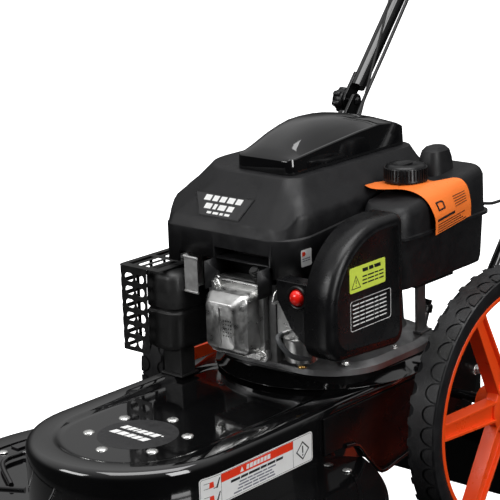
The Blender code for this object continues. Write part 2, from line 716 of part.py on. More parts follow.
def build_muffler():
    low, high = Vector(MUFFLER_LOW), Vector(MUFFLER_HIGH)
    body = box("muffler_body", low, high, HOT_BLACK, 0.010)
    leg = box("muffler_leg", (-0.136, 0.196, PAN_RIM_Z + 0.001), (-0.102, 0.226, low.z + 0.012),
              HOT_BLACK, 0.0, CUTTERS)
    join(body, leg)
    outer_x = low.x - SHIELD_GAP - SHEET_T
    outer_y = low.y - SHIELD_GAP - SHEET_T
    inner_x, inner_y = outer_x + SHEET_T, outer_y + SHEET_T
    outline = [(-0.142, outer_y), (outer_x + 0.008, outer_y), (outer_x, outer_y + 0.008),
               (outer_x, high.y + 0.004), (inner_x, high.y + 0.004), (inner_x, inner_y + 0.008),
               (inner_x + 0.008, inner_y), (-0.142, inner_y)]
    plate("muffler_guard", outline, low.z - 0.006, high.z + 0.002, HOT_BLACK)
    rod("exhaust_pipe", (high.x + GAP, 0.262, CYLINDER_Z), (GAP - BLOCK_HALF - 2 * GAP, 0.262,
        CYLINDER_Z), 0.014, STEEL, SEG_SMALL)
    shield = [(-0.0965, 0.214), (-0.066, 0.192), (-0.0652, 0.1931), (-0.0955, 0.2150),
              (-0.0955, 0.246), (-0.0965, 0.246)]
    plate("heat_shield", shield, 0.384, 0.4365, STEEL)


def build_carburettor():
    x_low, x_high = BLOCK_HALF + GAP, SHROUD_LEFT_X
    y = 0.241
    body = box("carburettor", (x_low, y - 0.022, 0.336), (x_high, y + 0.022, 0.392), CAST)
    middle = x_low + BOWL_R
    bowl = rod("float_bowl", (middle, y, 0.302), (middle, y, 0.340), BOWL_R, CAST, SEG, CUTTERS)
    drain = rod("bowl_bolt", (middle, y, 0.292), (middle, y, 0.304), 0.006, CAST, SEG_SMALL,
                CUTTERS)
    join(body, bowl, drain)


def filter_profile(inset, front_y=FILTER_FRONT_Y):
    """Side outline of the air filter cover, with the large sweep at its top front corner."""
    small = 0.014 - inset / 2
    front, back = front_y + inset, FILTER_BACK_Y - inset
    low, top = FILTER_LOW_Z + inset, FILTER_TOP_Z - inset
    sweep_y, sweep_z = 0.118 - inset, 0.112 - inset
    points = arc((back - small, top - small), small, 0.0, 90.0, 3)
    for y, z in arc((0.0, 0.0), 1.0, 90.0, 180.0, 9):
        points.append((front + sweep_y + y * sweep_y, top - sweep_z + z * sweep_z))
    points += arc((front + 0.030, low + 0.034), 0.030, 180.0, 255.0, 4)
    points += arc((back - small * 1.5, low + small * 1.5 - 0.004), small * 1.5, 275.0, 360.0, 3)
    return points


def filter_ring(inset, x, front_y=FILTER_FRONT_Y):
    return [Vector((x, y, z)) for y, z in filter_profile(inset, front_y)]


def build_air_filter():
    rings = [filter_ring(0.0, FILTER_SPLIT_X + GAP), filter_ring(0.0, FILTER_LEFT_X - 0.010),
             filter_ring(0.003, FILTER_LEFT_X - 0.003), filter_ring(0.009, FILTER_LEFT_X)]
    loft("air_filter_cover", rings, SATIN_BLACK, FILTER_WALL, open_low=True)

    front = FILTER_FRONT_Y + 0.012
    panel = [(FILTER_RIGHT_X, 0.446), (FILTER_RIGHT_X, 0.407), (0.112, 0.372),
             (FILTER_SPLIT_X, 0.343), (FILTER_SPLIT_X, 0.450)]
    base = plate("air_filter_base", panel, front, SHROUD_FRONT_Y - 0.001, SATIN_BLACK, "Y")
    box_right, box_top = SHROUD_LEFT_X + 0.001, SHROUD_LOW_Z - 0.001
    tray = plate("filter_tray", [(box_right, box_top), (box_right, 0.382), (FILTER_SPLIT_X, 0.346),
                                 (FILTER_SPLIT_X, box_top)], front + 0.010, FILTER_BACK_Y,
                 SATIN_BLACK, "Y", CUTTERS)
    join(base, tray)
    recess = rod("bulb_recess", (BULB_X, front - 0.01, BULB_Z), (BULB_X, front + 0.012, BULB_Z),
                 BULB_R + 0.003, SATIN_BLACK, SEG, CUTTERS)
    cut(base, recess)
    inset = 0.012
    element = [(FILTER_FRONT_Y + inset, 0.362), (FILTER_BACK_Y - inset, 0.362),
               (FILTER_BACK_Y - inset, 0.488), (FILTER_FRONT_Y + 0.060, 0.488),
               (FILTER_FRONT_Y + inset, 0.430)]
    plate("air_filter_element", element, FILTER_SPLIT_X + GAP, FILTER_LEFT_X - 0.012, FOAM, "X")

    seat = front + 0.012 - GAP
    stop = seat - BULB_STROKE - 0.0005
    profile = [(0.0, 0.015), (0.005, 0.0142), (0.009, 0.0115), (0.0118, 0.007), (BULB_R, 0.002),
               (BULB_R, 0.0), (0.0, 0.0)]
    bulb = turned("primer_bulb", profile, (BULB_X, stop, BULB_Z), RED, 20)
    bulb.rotation_euler = (math.radians(90.0), 0.0, 0.0)


def rising(points):
    """Tilt a ring with the tank's top, which climbs towards the back."""
    return [Vector((p.x, p.y, p.z + TANK_RISE * (p.y - TANK_FRONT_Y))) for p in points]


def build_tank():
    seam = 0.467
    right, left = TANK_RIGHT_X, TANK_LEFT_X
    front, back = TANK_FRONT_Y, TANK_BACK_Y
    rings = [rounded_rect((right + 0.006, front + 0.012), (left - 0.016, back - 0.018), 0.022,
                          TANK_LOW_Z, 4),
             rounded_rect((right, front + 0.004), (left - 0.006, back - 0.010), 0.026,
                          TANK_LOW_Z + 0.014, 4),
             rounded_rect((right, front), (left - 0.004, back - 0.006), 0.026, seam - 0.004, 4),
             rounded_rect((right, front), (left, back), 0.026, seam, 4),
             rounded_rect((right, front), (left, back), 0.026, seam + 0.006, 4),
             rising(rounded_rect((right, front + 0.004), (left - 0.005, back - 0.006), 0.024,
                                 TANK_TOP_Z - 0.012, 4)),
             rising(rounded_rect((right + 0.002, front + 0.014), (left - 0.016, back - 0.018),
                                 0.018, TANK_TOP_Z, 4))]
    tank = loft("fuel_tank", rings, MATTE_BLACK)
    neck = rod("filler_neck", (CAP_X, CAP_Y, TANK_TOP_Z), (CAP_X, CAP_Y, NECK_TOP_Z),
               NECK_R, MATTE_BLACK, SEG, CUTTERS)
    hump_rings = [rounded_rect((right + 0.001, 0.482), (0.148, 0.538), 0.016, 0.518),
                  rounded_rect((right + 0.003, 0.486), (0.144, 0.534), 0.014, 0.554),
                  rounded_rect((right + 0.008, 0.496), (0.136, 0.528), 0.010, 0.566)]
    hump = loft("tank_hump", hump_rings, MATTE_BLACK, 0.0, False, CUTTERS)
    join(tank, neck, hump)
    well = rod("filler_well", (CAP_X, CAP_Y, TANK_TOP_Z - 0.030), (CAP_X, CAP_Y,
               NECK_TOP_Z + 0.01), NECK_R - 0.004, MATTE_BLACK, SEG, CUTTERS)
    cut(tank, well)

    low = NECK_TOP_Z + GAP
    profile = [(0.0, low + CAP_H), (CAP_R - 0.006, low + CAP_H), (CAP_R, low + CAP_H - 0.005),
               (CAP_R, low), (0.0, low)]
    turned("fuel_cap", profile, (CAP_X, CAP_Y, 0), MATTE_BLACK, SEG)


def build_tank_bracket():
    top = TANK_LOW_Z - GAP
    outline = [(0.440, 0.370), (0.534, 0.370), (0.540, top), (0.440, top)]
    bracket = plate("tank_bracket", outline, TANK_RIGHT_X + 0.004, TANK_RIGHT_X + 0.034,
                    MATTE_BLACK, "X")
    strut = box("bracket_strut", (0.117, 0.470, SUMP_TOP_Z + 0.004), (0.121, 0.488, 0.376),
                MATTE_BLACK, 0.0, CUTTERS)
    join(bracket, strut)


def build_dipstick():
    lean = Vector((0.05, 0.30, 0.95)).normalized()
    foot = Vector((0.108, 0.496, SUMP_TOP_Z + 0.004))
    top = foot + lean * 0.022
    pipe = rod("dipstick_tube", foot, top, 0.0085, CAST, SEG_SMALL)
    cut(pipe, rod("dipstick_bore", foot + lean * 0.006, top + lean * 0.01, 0.0055, CAST,
                  SEG_SMALL, CUTTERS))
    cap = rod("dipstick_cap", top + lean * GAP, top + lean * 0.014, 0.012, MATTE_BLACK,
              SEG_SMALL)
    join(cap, rod("dipstick_blade", foot + lean * 0.008, top + lean * 0.004, 0.0030,
                  MATTE_BLACK, 8, CUTTERS))


def shroud_ring(low, high, radii, height, slope=0.0):
    """Ring of the blower shroud between two (x, y) corners; it may rise towards the back."""
    points = rounded_rect(low, high, radii, height, 5)
    return [Vector((p.x, p.y, p.z + slope * (p.y - SHROUD_FRONT_Y))) for p in points]


def build_shroud():
    low, high = (SHROUD_RIGHT_X, SHROUD_FRONT_Y), (SHROUD_LEFT_X, SHROUD_BACK_Y)
    radii = (0.045, 0.045, 0.014, 0.046)
    rings = [shroud_ring(low, high, radii, SHROUD_LOW_Z),
             shroud_ring(low, high, radii, 0.483, 0.115),
             shroud_ring((low[0] + 0.003, low[1] + 0.006), (high[0] - 0.008, high[1] - 0.004),
                         (0.044, 0.044, 0.018, 0.044), 0.4925, 0.112),
             shroud_ring((low[0] + 0.009, low[1] + 0.026), (high[0] - 0.026, high[1] - 0.012),
                         (0.040, 0.040, 0.046, 0.036), 0.524, 0.050),
             shroud_ring((low[0] + 0.017, low[1] + 0.046), (high[0] - 0.034, high[1] - 0.018),
                         (0.034, 0.034, 0.074, 0.026), SHROUD_TOP_Z - 0.003),
             shroud_ring((low[0] + 0.024, low[1] + 0.052), (high[0] - 0.040, high[1] - 0.024),
                         (0.030, 0.030, 0.070, 0.022), SHROUD_TOP_Z)]
    shroud = loft("blower_shroud", rings, MATTE_BLACK, SHROUD_WALL, open_low=True)
    front, floor = SHROUD_FRONT_Y - 0.02, SHROUD_LOW_Z - 0.02
    edge = box("front_edge", (-0.112, front, floor), (0.062, SHROUD_FRONT_Y + 0.060, 0.440),
               MATTE_BLACK, 0.0, CUTTERS)
    arch = box("plug_arch", (-0.044, front, floor), (0.056, SHROUD_FRONT_Y + 0.040, 0.456),
               MATTE_BLACK, 0.0, CUTTERS)
    rope_hole = rod("rope_hole", (0, CRANK_Y, 0.53), (0, CRANK_Y, 0.58), REEL_R + 0.004,
                    MATTE_BLACK, SEG, CUTTERS)
    cut(shroud, edge, arch, rope_hole)


def build_recoil():
    low = SHROUD_TOP_Z + 2 * GAP
    rings = []
    stages = ((0.0, 0.0, 0.0, low, 0.0), (0.001, 0.001, 0.001, low + 0.013, 0.010),
              (0.004, 0.006, 0.003, low + 0.0204, 0.055), (0.020, 0.040, 0.012, 0.6043, -0.020),
              (0.034, 0.080, 0.035, RECOIL_TOP_Z, -0.072))
    for side, front, back, height, slope in stages:
        level = rounded_rect((-RECOIL_HALF + side, RECOIL_FRONT_Y + front),
                             (RECOIL_HALF - side, RECOIL_BACK_Y - back), 0.012, height, 4)
        rings.append([Vector((p.x, p.y, p.z + slope * (p.y - RECOIL_FRONT_Y))) for p in level])
    cover = loft("recoil_cover", rings, PIANO_BLACK, SHROUD_WALL, open_low=True)
    cut(cover, rod("rope_exit", ROPE_START - ROPE_LINE * 0.030, ROPE_START + ROPE_LINE * 0.020,
                   ROPE_R + 0.003, PIANO_BLACK, SEG_SMALL, CUTTERS))
    reel_top = low + 0.014
    profile = [(0.006, reel_top), (REEL_R, reel_top), (REEL_R, reel_top - 0.003),
               (REEL_R - 0.008, reel_top - 0.005), (REEL_R - 0.008, reel_top - 0.013),
               (REEL_R, reel_top - 0.015), (REEL_R, reel_top - 0.018), (0.006, reel_top - 0.018)]
    turned("recoil_reel", profile, (0, CRANK_Y, 0), MATTE_BLACK, SEG, closed=True)


def build_crank():
    top = 0.500
    rod("crankshaft", (0, CRANK_Y, BELT_Z - 0.016), (0, CRANK_Y, top), CRANK_R, STEEL)
    low = CASE_TOP_Z + 0.045
    bore = CRANK_R + GAP
    profile = [(bore, top - 0.004), (0.030, top - 0.004), (0.036, top - 0.016),
               (FLYWHEEL_R, top - 0.016), (FLYWHEEL_R, low), (bore, low)]
    turned("flywheel", profile, (0, CRANK_Y, 0), CAST, 24, closed=True)


# ---------------------------------------------------------------- handle
FOLD = Vector((0.0, FOLD_Y, FOLD_Z))
BAR = FOLD + ALONG * ARM_LONG
GUIDE = FOLD + ALONG * 0.300 + ABOVE * 0.046


def at_side(point, x):
    return Vector((x, point.y, point.z))


ROPE_START = Vector((-0.020, RECOIL_BACK_Y - 0.020, SHROUD_TOP_Z + 0.034))
ROPE_END = at_side(GUIDE, -ARM_X - 0.004)
ROPE_LINE = (ROPE_END - ROPE_START).normalized()


def build_lower_handle(side, sign):
    """Tube from the frame plate up to the fold bolt, set outward around the wheel."""
    plate_face = PLATE_X + PLATE_T + GAP + TUBE_R
    low = FOLD - ALONG * 0.400
    high = FOLD - ALONG * 0.026
    points = [at_side(low, sign * plate_face), at_side(low + ALONG * 0.060, sign * plate_face),
              at_side(low + ALONG * 0.130, sign * ARM_X), at_side(high, sign * ARM_X)]
    handle = tube("lower_handle_" + side, rounded_path(points, 0.060, 3), TUBE_R, GLOSS_BLACK)
    ear_low = sorted((sign * (ARM_X - 0.0106), sign * (ARM_X - 0.0056)))
    outline = ear_outline(-0.048)
    ear = plate("ear_" + side, outline, ear_low[0], ear_low[1], GLOSS_BLACK, "X", CUTTERS)
    join(handle, ear)
    cut(handle, fold_hole("ear_hole_" + side, sign))


def ear_outline(start):
    """Flat tongue around the fold bolt, as (y, z) points; start is along the handle."""
    width = 0.0115
    foot = FOLD + ALONG * start
    side = ABOVE * width
    angle = math.degrees(SLOPE)
    if start > 0:
        angle += 180.0
    outline = arc((FOLD.y, FOLD.z), width, angle - 90.0, angle + 90.0, 6)
    ends = [foot + side, foot - side] if start < 0 else [foot - side, foot + side]
    return outline + [(point.y, point.z) for point in ends]


def fold_hole(name, sign):
    return rod(name, (sign * (ARM_X - 0.03), FOLD.y, FOLD.z), (sign * (ARM_X + 0.03), FOLD.y,
               FOLD.z), 0.0044, GLOSS_BLACK, SEG_SMALL, CUTTERS)


def build_upper_handle():
    """Loop of tube: two arms up from the fold bolts and a crossbar between them."""
    start = FOLD + ALONG * 0.026
    points = [at_side(start, ARM_X), at_side(BAR, ARM_X), at_side(BAR, -ARM_X),
              at_side(start, -ARM_X)]
    handle = tube("upper_handle", rounded_path(points, ARM_BEND, 6), TUBE_R, GLOSS_BLACK)
    for side, sign in (("left", 1), ("right", -1)):
        low, high = sorted((sign * (ARM_X + 0.0056), sign * (ARM_X + 0.0106)))
        ear = plate("upper_ear_" + side, ear_outline(0.048), low, high, GLOSS_BLACK, "X", CUTTERS)
        join(handle, ear)
        cut(handle, fold_hole("upper_ear_hole_" + side, sign))


def build_knob(side, sign):
    """Clamping knob on the fold bolt, with the bolt's shank in one piece."""
    face = ARM_X + 0.0106 + GAP
    shape = rod("handle_knob_" + side, (sign * face, FOLD.y, FOLD.z),
                (sign * (face + 0.018), FOLD.y, FOLD.z), KNOB_R, MATTE_BLACK, 12)
    shank = rod("knob_bolt_" + side, (sign * (ARM_X - 0.016), FOLD.y, FOLD.z),
                (sign * (face + 0.004), FOLD.y, FOLD.z), 0.0040, MATTE_BLACK, SEG_SMALL, CUTTERS)
    join(shape, shank)


def build_grip(side, sign):
    half = GRIP_HALF
    centre = at_side(BAR, sign * (ARM_X - ARM_BEND - half - 0.002))
    bore = TUBE_R + GAP
    profile = [(bore, half), (GRIP_R - 0.002, half), (GRIP_R, half - 0.003),
               (GRIP_R, 0.003 - half), (GRIP_R - 0.002, -half), (bore, -half)]
    turned("grip_" + side, profile, centre, FOAM, 20, "X", closed=True)


def build_bail():
    """Wire bail that engages the belt when it is pulled up to the crossbar."""
    pivot = BAR - ALONG * BAIL_DROP
    inside = ARM_X - TUBE_R - 0.008
    tip = pivot + ALONG * BAIL_REACH + ABOVE * BAIL_RISE
    points = [at_side(pivot, inside + 0.004), at_side(pivot, inside - 0.014),
              at_side(tip, inside - 0.040), at_side(tip, 0.040 - inside),
              at_side(pivot, 0.014 - inside), at_side(pivot, -inside - 0.004)]
    tube("clutch_bail", rounded_path(points, 0.012, 4), BAIL_R, GLOSS_BLACK)


def build_throttle():
    """Lever on the left arm's inner face, on a short boss."""
    foot = FOLD + ALONG * 0.380
    x = ARM_X - TUBE_R - GAP - 0.016
    boss = rod("throttle_lever", (x, foot.y, foot.z), (x + 0.016, foot.y, foot.z), 0.013,
               MATTE_BLACK, 16)
    tip = foot + ALONG * 0.030 + ABOVE * 0.040
    stick = rod("lever_stick", (x + 0.006, foot.y, foot.z), (x + 0.006, tip.y, tip.z), 0.0048,
                MATTE_BLACK, 10, CUTTERS)
    join(boss, stick)


def build_rope_guide():
    """Wire eye on the right arm that holds the starter grip within reach."""
    foot = at_side(FOLD + ALONG * 0.288 + ABOVE * (TUBE_R + GAP), -ARM_X)
    eye = at_side(GUIDE, -ARM_X - 0.004)
    ring_r = 0.009
    points = [foot, foot + ABOVE * 0.012]
    side = Vector((1, 0, 0))
    for step in range(13):
        angle = math.radians(-90.0 + 300.0 * step / 12)
        points.append(eye + ABOVE * ring_r * math.sin(angle) + side * ring_r * math.cos(angle))
    tube("rope_guide", points, 0.0025, STEEL)


def build_starter():
    """Rope from the recoil cover to its guide, and the pull grip that rests there."""
    start = ROPE_START + ROPE_LINE * 0.008
    rope_end = ROPE_END + ALONG * 0.004
    middle = (start + rope_end) / 2 + Vector((0, 0, -0.004))
    tube("starter_rope", smooth_path([start, middle, rope_end], CABLE_STEP), ROPE_R, RUBBER, 2)
    base = rope_end + ALONG * (GAP + 0.001)
    body = rod("starter_grip", base, base + ALONG * 0.016, 0.0110, MATTE_BLACK, 16)
    bar = rod("grip_bar", base + ALONG * 0.022 - Vector((0.040, 0, 0)),
              base + ALONG * 0.022 + Vector((0.040, 0, 0)), 0.0100, MATTE_BLACK, 16, CUTTERS)
    join(body, bar)


# Control cable routes: the rest stretch from the lower machine to the levers on the handle.
CLUTCH_ROUTE = [(-0.112, 0.612, 0.222), (-0.122, 0.640, 0.240), (-0.160, 0.655, 0.330),
                (-0.172, 0.668, 0.475), (-0.172, 0.722, 0.560), (-0.174, 0.800, 0.651),
                (-0.1765, 0.900, 0.768), (-0.1765, 0.990, 0.873)]
THROTTLE_ROUTE = [(0.160, 0.580, 0.471), (0.166, 0.610, 0.468), (0.172, 0.650, 0.480),
                  (0.172, 0.724, 0.556), (0.174, 0.800, 0.645), (0.1765, 0.880, 0.739),
                  (0.1765, 0.946, 0.816)]


def build_cables():
    tube("clutch_cable", smooth_path(CLUTCH_ROUTE, CABLE_STEP), CABLE_R, RUBBER, 2)
    tube("throttle_cable", smooth_path(THROTTLE_ROUTE, CABLE_STEP), CABLE_R * 0.8, RUBBER, 2)


# ---------------------------------------------------------------- assembly
SIDES = (("left", 1), ("right", -1))
for side_name, side_sign in SIDES:
    build_wheel(side_name, side_sign)
    build_frame_side(side_name, side_sign)
    build_lower_handle(side_name, side_sign)
    build_knob(side_name, side_sign)
    build_grip(side_name, side_sign)
build_axle()
build_deck_pan()
build_guard()
build_guard_skirt()
build_rear_flap()
build_dish()
build_belt_drive()
build_idler()
build_spindle()
build_head()
build_ball()
build_crankcase()
build_cylinder()
build_valve_cover()
build_spark_plug()
build_muffler()
build_carburettor()
build_air_filter()
build_tank()
build_tank_bracket()
build_dipstick()
build_shroud()
build_recoil()
build_crank()
build_upper_handle()
build_bail()
build_throttle()
build_rope_guide()
build_starter()
build_cables()
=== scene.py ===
"""Looks of the wheeled trimmer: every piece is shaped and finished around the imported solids."""
import math

import bmesh
import bpy
from mathutils import Matrix, Vector


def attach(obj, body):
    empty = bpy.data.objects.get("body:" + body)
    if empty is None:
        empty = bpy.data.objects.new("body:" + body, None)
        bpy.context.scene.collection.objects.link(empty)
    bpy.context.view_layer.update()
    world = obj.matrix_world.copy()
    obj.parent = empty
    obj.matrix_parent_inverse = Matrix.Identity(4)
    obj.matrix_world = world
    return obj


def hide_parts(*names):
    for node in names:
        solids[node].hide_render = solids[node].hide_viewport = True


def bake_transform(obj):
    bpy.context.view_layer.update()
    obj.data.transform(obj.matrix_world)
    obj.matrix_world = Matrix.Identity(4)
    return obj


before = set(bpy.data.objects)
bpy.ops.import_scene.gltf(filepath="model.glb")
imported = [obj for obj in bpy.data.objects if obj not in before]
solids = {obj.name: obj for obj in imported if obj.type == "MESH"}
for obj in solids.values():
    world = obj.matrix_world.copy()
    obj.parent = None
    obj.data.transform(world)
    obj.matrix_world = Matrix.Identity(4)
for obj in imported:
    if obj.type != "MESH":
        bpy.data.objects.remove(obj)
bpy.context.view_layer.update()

# ------------------------------------------------------------------ studio
# A pale floor under soft light: a bright sky above and behind, and a darker room in front, so
# that black paint shows clean edges. All later sizes are metres from the trimmer head's axis.
HEAD_Y = -0.3875951
EYE = Vector((1.59874, -1.58548 + HEAD_Y, 1.09987))
AZIMUTH, ELEVATION, ROLL = math.radians(41.23), math.radians(14.96), -0.0326881


def placed(name, data):
    """A new object in the scene."""
    obj = bpy.data.objects.new(name, data)
    bpy.context.scene.collection.objects.link(obj)
    return obj


def as_mesh(name, bm):
    """Turn a bmesh into a mesh and free it."""
    mesh = bpy.data.meshes.new(name)
    bm.to_mesh(mesh)
    bm.free()
    return mesh


def settings(node, values):
    """Set a node's inputs by name."""
    for socket, value in values.items():
        node.inputs[socket].default_value = value


back = Vector((math.sin(AZIMUTH) * math.cos(ELEVATION), -math.cos(AZIMUTH) * math.cos(ELEVATION),
    math.sin(ELEVATION)))
right = Vector((math.cos(AZIMUTH), math.sin(AZIMUTH), 0))
up = back.cross(right)
side_turned = right * math.cos(ROLL) + up * math.sin(ROLL)
up_turned = up * math.cos(ROLL) - right * math.sin(ROLL)
camera_data = bpy.data.cameras.new("view")
camera_data.lens = 128.97
camera_data.sensor_width = 36
camera = placed("view", camera_data)
camera.matrix_world = Matrix.Translation(EYE) @ Matrix((side_turned, up_turned,
    back)).transposed().to_4x4()
bpy.context.scene.camera = camera
bpy.context.scene.view_settings.view_transform = "Standard"

floor_mesh = bmesh.new()
bmesh.ops.create_grid(floor_mesh, x_segments=1, y_segments=1, size=30)
floor_data = as_mesh("floor", floor_mesh)
floor = placed("floor", floor_data)
floor_paint = bpy.data.materials.new("floor_paint")
floor_paint.use_nodes = True
floor_shader = floor_paint.node_tree.nodes["Principled BSDF"]
settings(floor_shader, {"Base Color": (0.8, 0.8, 0.8, 1), "Roughness": 0.9,
    "Emission Color": (1, 1, 1, 1), "Emission Strength": 1.4})
floor_data.materials.append(floor_paint)
floor.visible_glossy = False
floor.visible_diffuse = False

sky = bpy.data.worlds.new("studio")
bpy.context.scene.world = sky
sky.use_nodes = True
tree = sky.node_tree
direction = tree.nodes.new("ShaderNodeTexCoord")
height = tree.nodes.new("ShaderNodeSeparateXYZ")
tree.links.new(direction.outputs["Generated"], height.inputs["Vector"])
ramp = tree.nodes.new("ShaderNodeValToRGB")
for place, value in ((0, 0.02), (0.52, 0.03), (0.62, 0.14), (0.76, 0.62)):
    stop = ramp.color_ramp.elements.new(place) if place else ramp.color_ramp.elements[0]
    stop.position = place
    stop.color = (value, value, value, 1)
ramp.color_ramp.elements[-1].color = (0.9, 0.9, 0.9, 1)
lift = tree.nodes.new("ShaderNodeMapRange")
lift.inputs["From Min"].default_value = -1
tree.links.new(height.outputs["Z"], lift.inputs["Value"])
tree.links.new(lift.outputs["Result"], ramp.inputs["Fac"])
behind = tree.nodes.new("ShaderNodeVectorMath")
behind.operation = "DOT_PRODUCT"
behind.inputs[1].default_value = (-math.sin(AZIMUTH), math.cos(AZIMUTH), 0)
tree.links.new(direction.outputs["Generated"], behind.inputs[0])
dim = tree.nodes.new("ShaderNodeMapRange")
settings(dim, {"From Min": -0.9, "From Max": 0.5, "To Min": 0.22})
tree.links.new(behind.outputs["Value"], dim.inputs["Value"])
product = tree.nodes.new("ShaderNodeMix")
product.data_type = "RGBA"
product.blend_type = "MULTIPLY"
product.inputs["Factor"].default_value = 1
tree.links.new(ramp.outputs["Color"], product.inputs[6])
tree.links.new(dim.outputs["Result"], product.inputs[7])
tree.links.new(product.outputs[2], tree.nodes["Background"].inputs["Color"])
tree.nodes["Background"].inputs["Strength"].default_value = 0.75


def softbox(name, place, target, width, depth, power):
    """A rectangular area light aimed at a point."""
    lamp = bpy.data.lights.new(name, "AREA")
    lamp.shape = "RECTANGLE"
    lamp.size = width
    lamp.size_y = depth
    lamp.energy = power
    holder = placed(name, lamp)
    holder.location = place
    aim = Vector(target) - Vector(place)
    holder.rotation_euler = aim.to_track_quat("-Z", "Y").to_euler()


softbox("top_box", (0.3, -0.4, 2.6), (0, -0.1, 0.3), 2.2, 1.6, 42)
softbox("left_box", (2.6, -0.6, 1.5), (0, 0, 0.3), 1, 1.8, 40)
softbox("front_box", (-1.2, -2.6, 1.7), (0, -0.2, 0.3), 1.4, 0.9, 26)

# ------------------------------------------------------------------ cables and starter rope
# Two sheathed control cables run from the cover and the tank up to the levers, and a thin braided
# starter rope runs taut from the recoil cover to the wire eye on the right arm.
SLOPE = math.radians(49.5)
ALONG = Vector((0, math.cos(SLOPE), math.sin(SLOPE)))
ABOVE = Vector((0, -math.sin(SLOPE), math.cos(SLOPE)))
FOLD = Vector((0, 0.728, 0.569))
BAR = FOLD + ALONG * 0.56
ARM_X = 0.195
TUBE_R = 0.0125

slot_of = {}
TOUCH = 2e-06


def surface(name, colour, rough, metal=0, mottle=0.15, patch=26, grain=0, grain_size=600, coat=0,
        vary=0.25, dust=0, shine=0.5, slot=""):
    """A procedural finish: cloudy tone and gloss, a fine grain, and pale specks of dust."""
    material = bpy.data.materials.new(name)
    slot_of[material] = slot
    material.use_nodes = True
    tree = material.node_tree
    shader = tree.nodes["Principled BSDF"]
    settings(shader, {"Metallic": metal, "Specular IOR Level": shine, "Coat Weight": coat,
        "Coat Roughness": 0.04})
    place = tree.nodes.new("ShaderNodeTexCoord")

    def cloud(size, detail):
        noise = tree.nodes.new("ShaderNodeTexNoise")
        settings(noise, {"Scale": size, "Detail": detail})
        tree.links.new(place.outputs["Object"], noise.inputs["Vector"])
        return noise.outputs["Fac"]

    def stretch(source, low, high, start=0.32, end=0.68):
        node = tree.nodes.new("ShaderNodeMapRange")
        settings(node, {"From Min": start, "From Max": end, "To Min": low, "To Max": high})
        tree.links.new(source, node.inputs["Value"])
        return node.outputs["Result"]
    tones = tree.nodes.new("ShaderNodeValToRGB")
    dark = [channel * (1 - mottle) for channel in colour]
    pale = [min(1, channel * (1 + mottle) + 0.002 * mottle) for channel in colour]
    tones.color_ramp.elements[0].color = (*dark, 1)
    tones.color_ramp.elements[1].color = (*pale, 1)
    tones.color_ramp.elements[0].position = 0.3
    tones.color_ramp.elements[1].position = 0.7
    tree.links.new(cloud(patch, 5), tones.inputs["Fac"])
    tone = tones.outputs["Color"]
    if dust:
        specks = tree.nodes.new("ShaderNodeMix")
        specks.data_type = "RGBA"
        tree.links.new(stretch(cloud(1500, 1), 0, dust, 0.7, 0.78), specks.inputs["Factor"])
        tree.links.new(tone, specks.inputs[6])
        specks.inputs[7].default_value = (0.35, 0.35, 0.36, 1)
        tone = specks.outputs[2]
    tree.links.new(tone, shader.inputs["Base Color"])
    tree.links.new(stretch(cloud(patch * 2.3, 3), rough * (1 - vary), rough * (1 + vary)),
        shader.inputs["Roughness"])
    if grain:
        bump = tree.nodes.new("ShaderNodeBump")
        settings(bump, {"Strength": grain, "Distance": 0.0006})
        tree.links.new(cloud(grain_size, 3), bump.inputs["Height"])
        tree.links.new(bump.outputs["Normal"], shader.inputs["Normal"])
    return material


def put(bm, by):
    """Move a bmesh by a vector."""
    bmesh.ops.translate(bm, vec=by, verts=bm.verts)
    return bm


def turned(bm, by, axis=None):
    """Turn a bmesh about the origin, by a matrix or by degrees about an axis."""
    if axis:
        by = Matrix.Rotation(math.radians(by), 3, axis)
    bmesh.ops.rotate(bm, cent=(0, 0, 0), matrix=by, verts=bm.verts)
    return bm


def mirrored(bm):
    """Swap left and right."""
    bmesh.ops.scale(bm, vec=(-1, 1, 1), verts=bm.verts)
    return bm


def mm(*points):
    """Points in metres from points in millimetres."""
    return [tuple((value / 1000 for value in point)) for point in points]


def piece(name, bm, material, *nodes, body="machine", slot=None, rounding=0, sharp=38, wall=0,
        blend=None):
    """Make a finished piece of a bmesh that is measured from the head's axis."""
    put(bm, (0, HEAD_Y, 0))
    bmesh.ops.remove_doubles(bm, verts=bm.verts, dist=TOUCH)
    bmesh.ops.recalc_face_normals(bm, faces=bm.faces)
    mesh = as_mesh(name, bm)
    mesh.materials.append(material)
    mesh.shade_smooth()
    if not rounding:
        mesh.set_sharp_from_angle(angle=math.radians(sharp))
    obj = placed(name, mesh)
    if wall:
        shell = obj.modifiers.new("wall", "SOLIDIFY")
        shell.thickness = wall
        shell.offset = -1
        shell.use_even_offset = True
    if rounding:
        edge = obj.modifiers.new("rounding", "BEVEL")
        edge.width = rounding
        edge.segments = 3
        edge.limit_method = "ANGLE"
        edge.angle_limit = math.radians(sharp)
        edge.harden_normals = True
    if blend:
        first, second, start, end = blend
        shift = Vector((0, HEAD_Y, 0))
        tuple(Vector(start) + shift)
        tuple(Vector(end) + shift)
        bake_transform(obj)
    else:
        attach(obj, body)
    slot = slot_of[material] if slot is None else slot
    if nodes:
        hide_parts(*nodes)
    return obj


def smooth_line(points, spacing):
    """Evenly spaced points on a Catmull-Rom curve through the given ones."""
    route = [Vector(p) for p in points]
    route = [2 * route[0] - route[1]] + route + [2 * route[-1] - route[-2]]
    path = []
    for a, b, c, d in zip(route, route[1:], route[2:], route[3:]):
        count = max(1, round((c - b).length / spacing))
        for step in range(count):
            t = step / count
            path.append(0.5 * (2 * b + (c - a) * t + (2 * a - 5 * b + 4 * c - d) * t ** 2
                + (3 * b - a - 3 * c + d) * t ** 3))
    path.append(route[-2])
    return path


def worked_out(obj):
    """The mesh of an object with its bevel or modifiers applied."""
    bpy.context.view_layer.update()
    graph = bpy.context.evaluated_depsgraph_get()
    return bpy.data.meshes.new_from_object(obj.evaluated_get(graph))


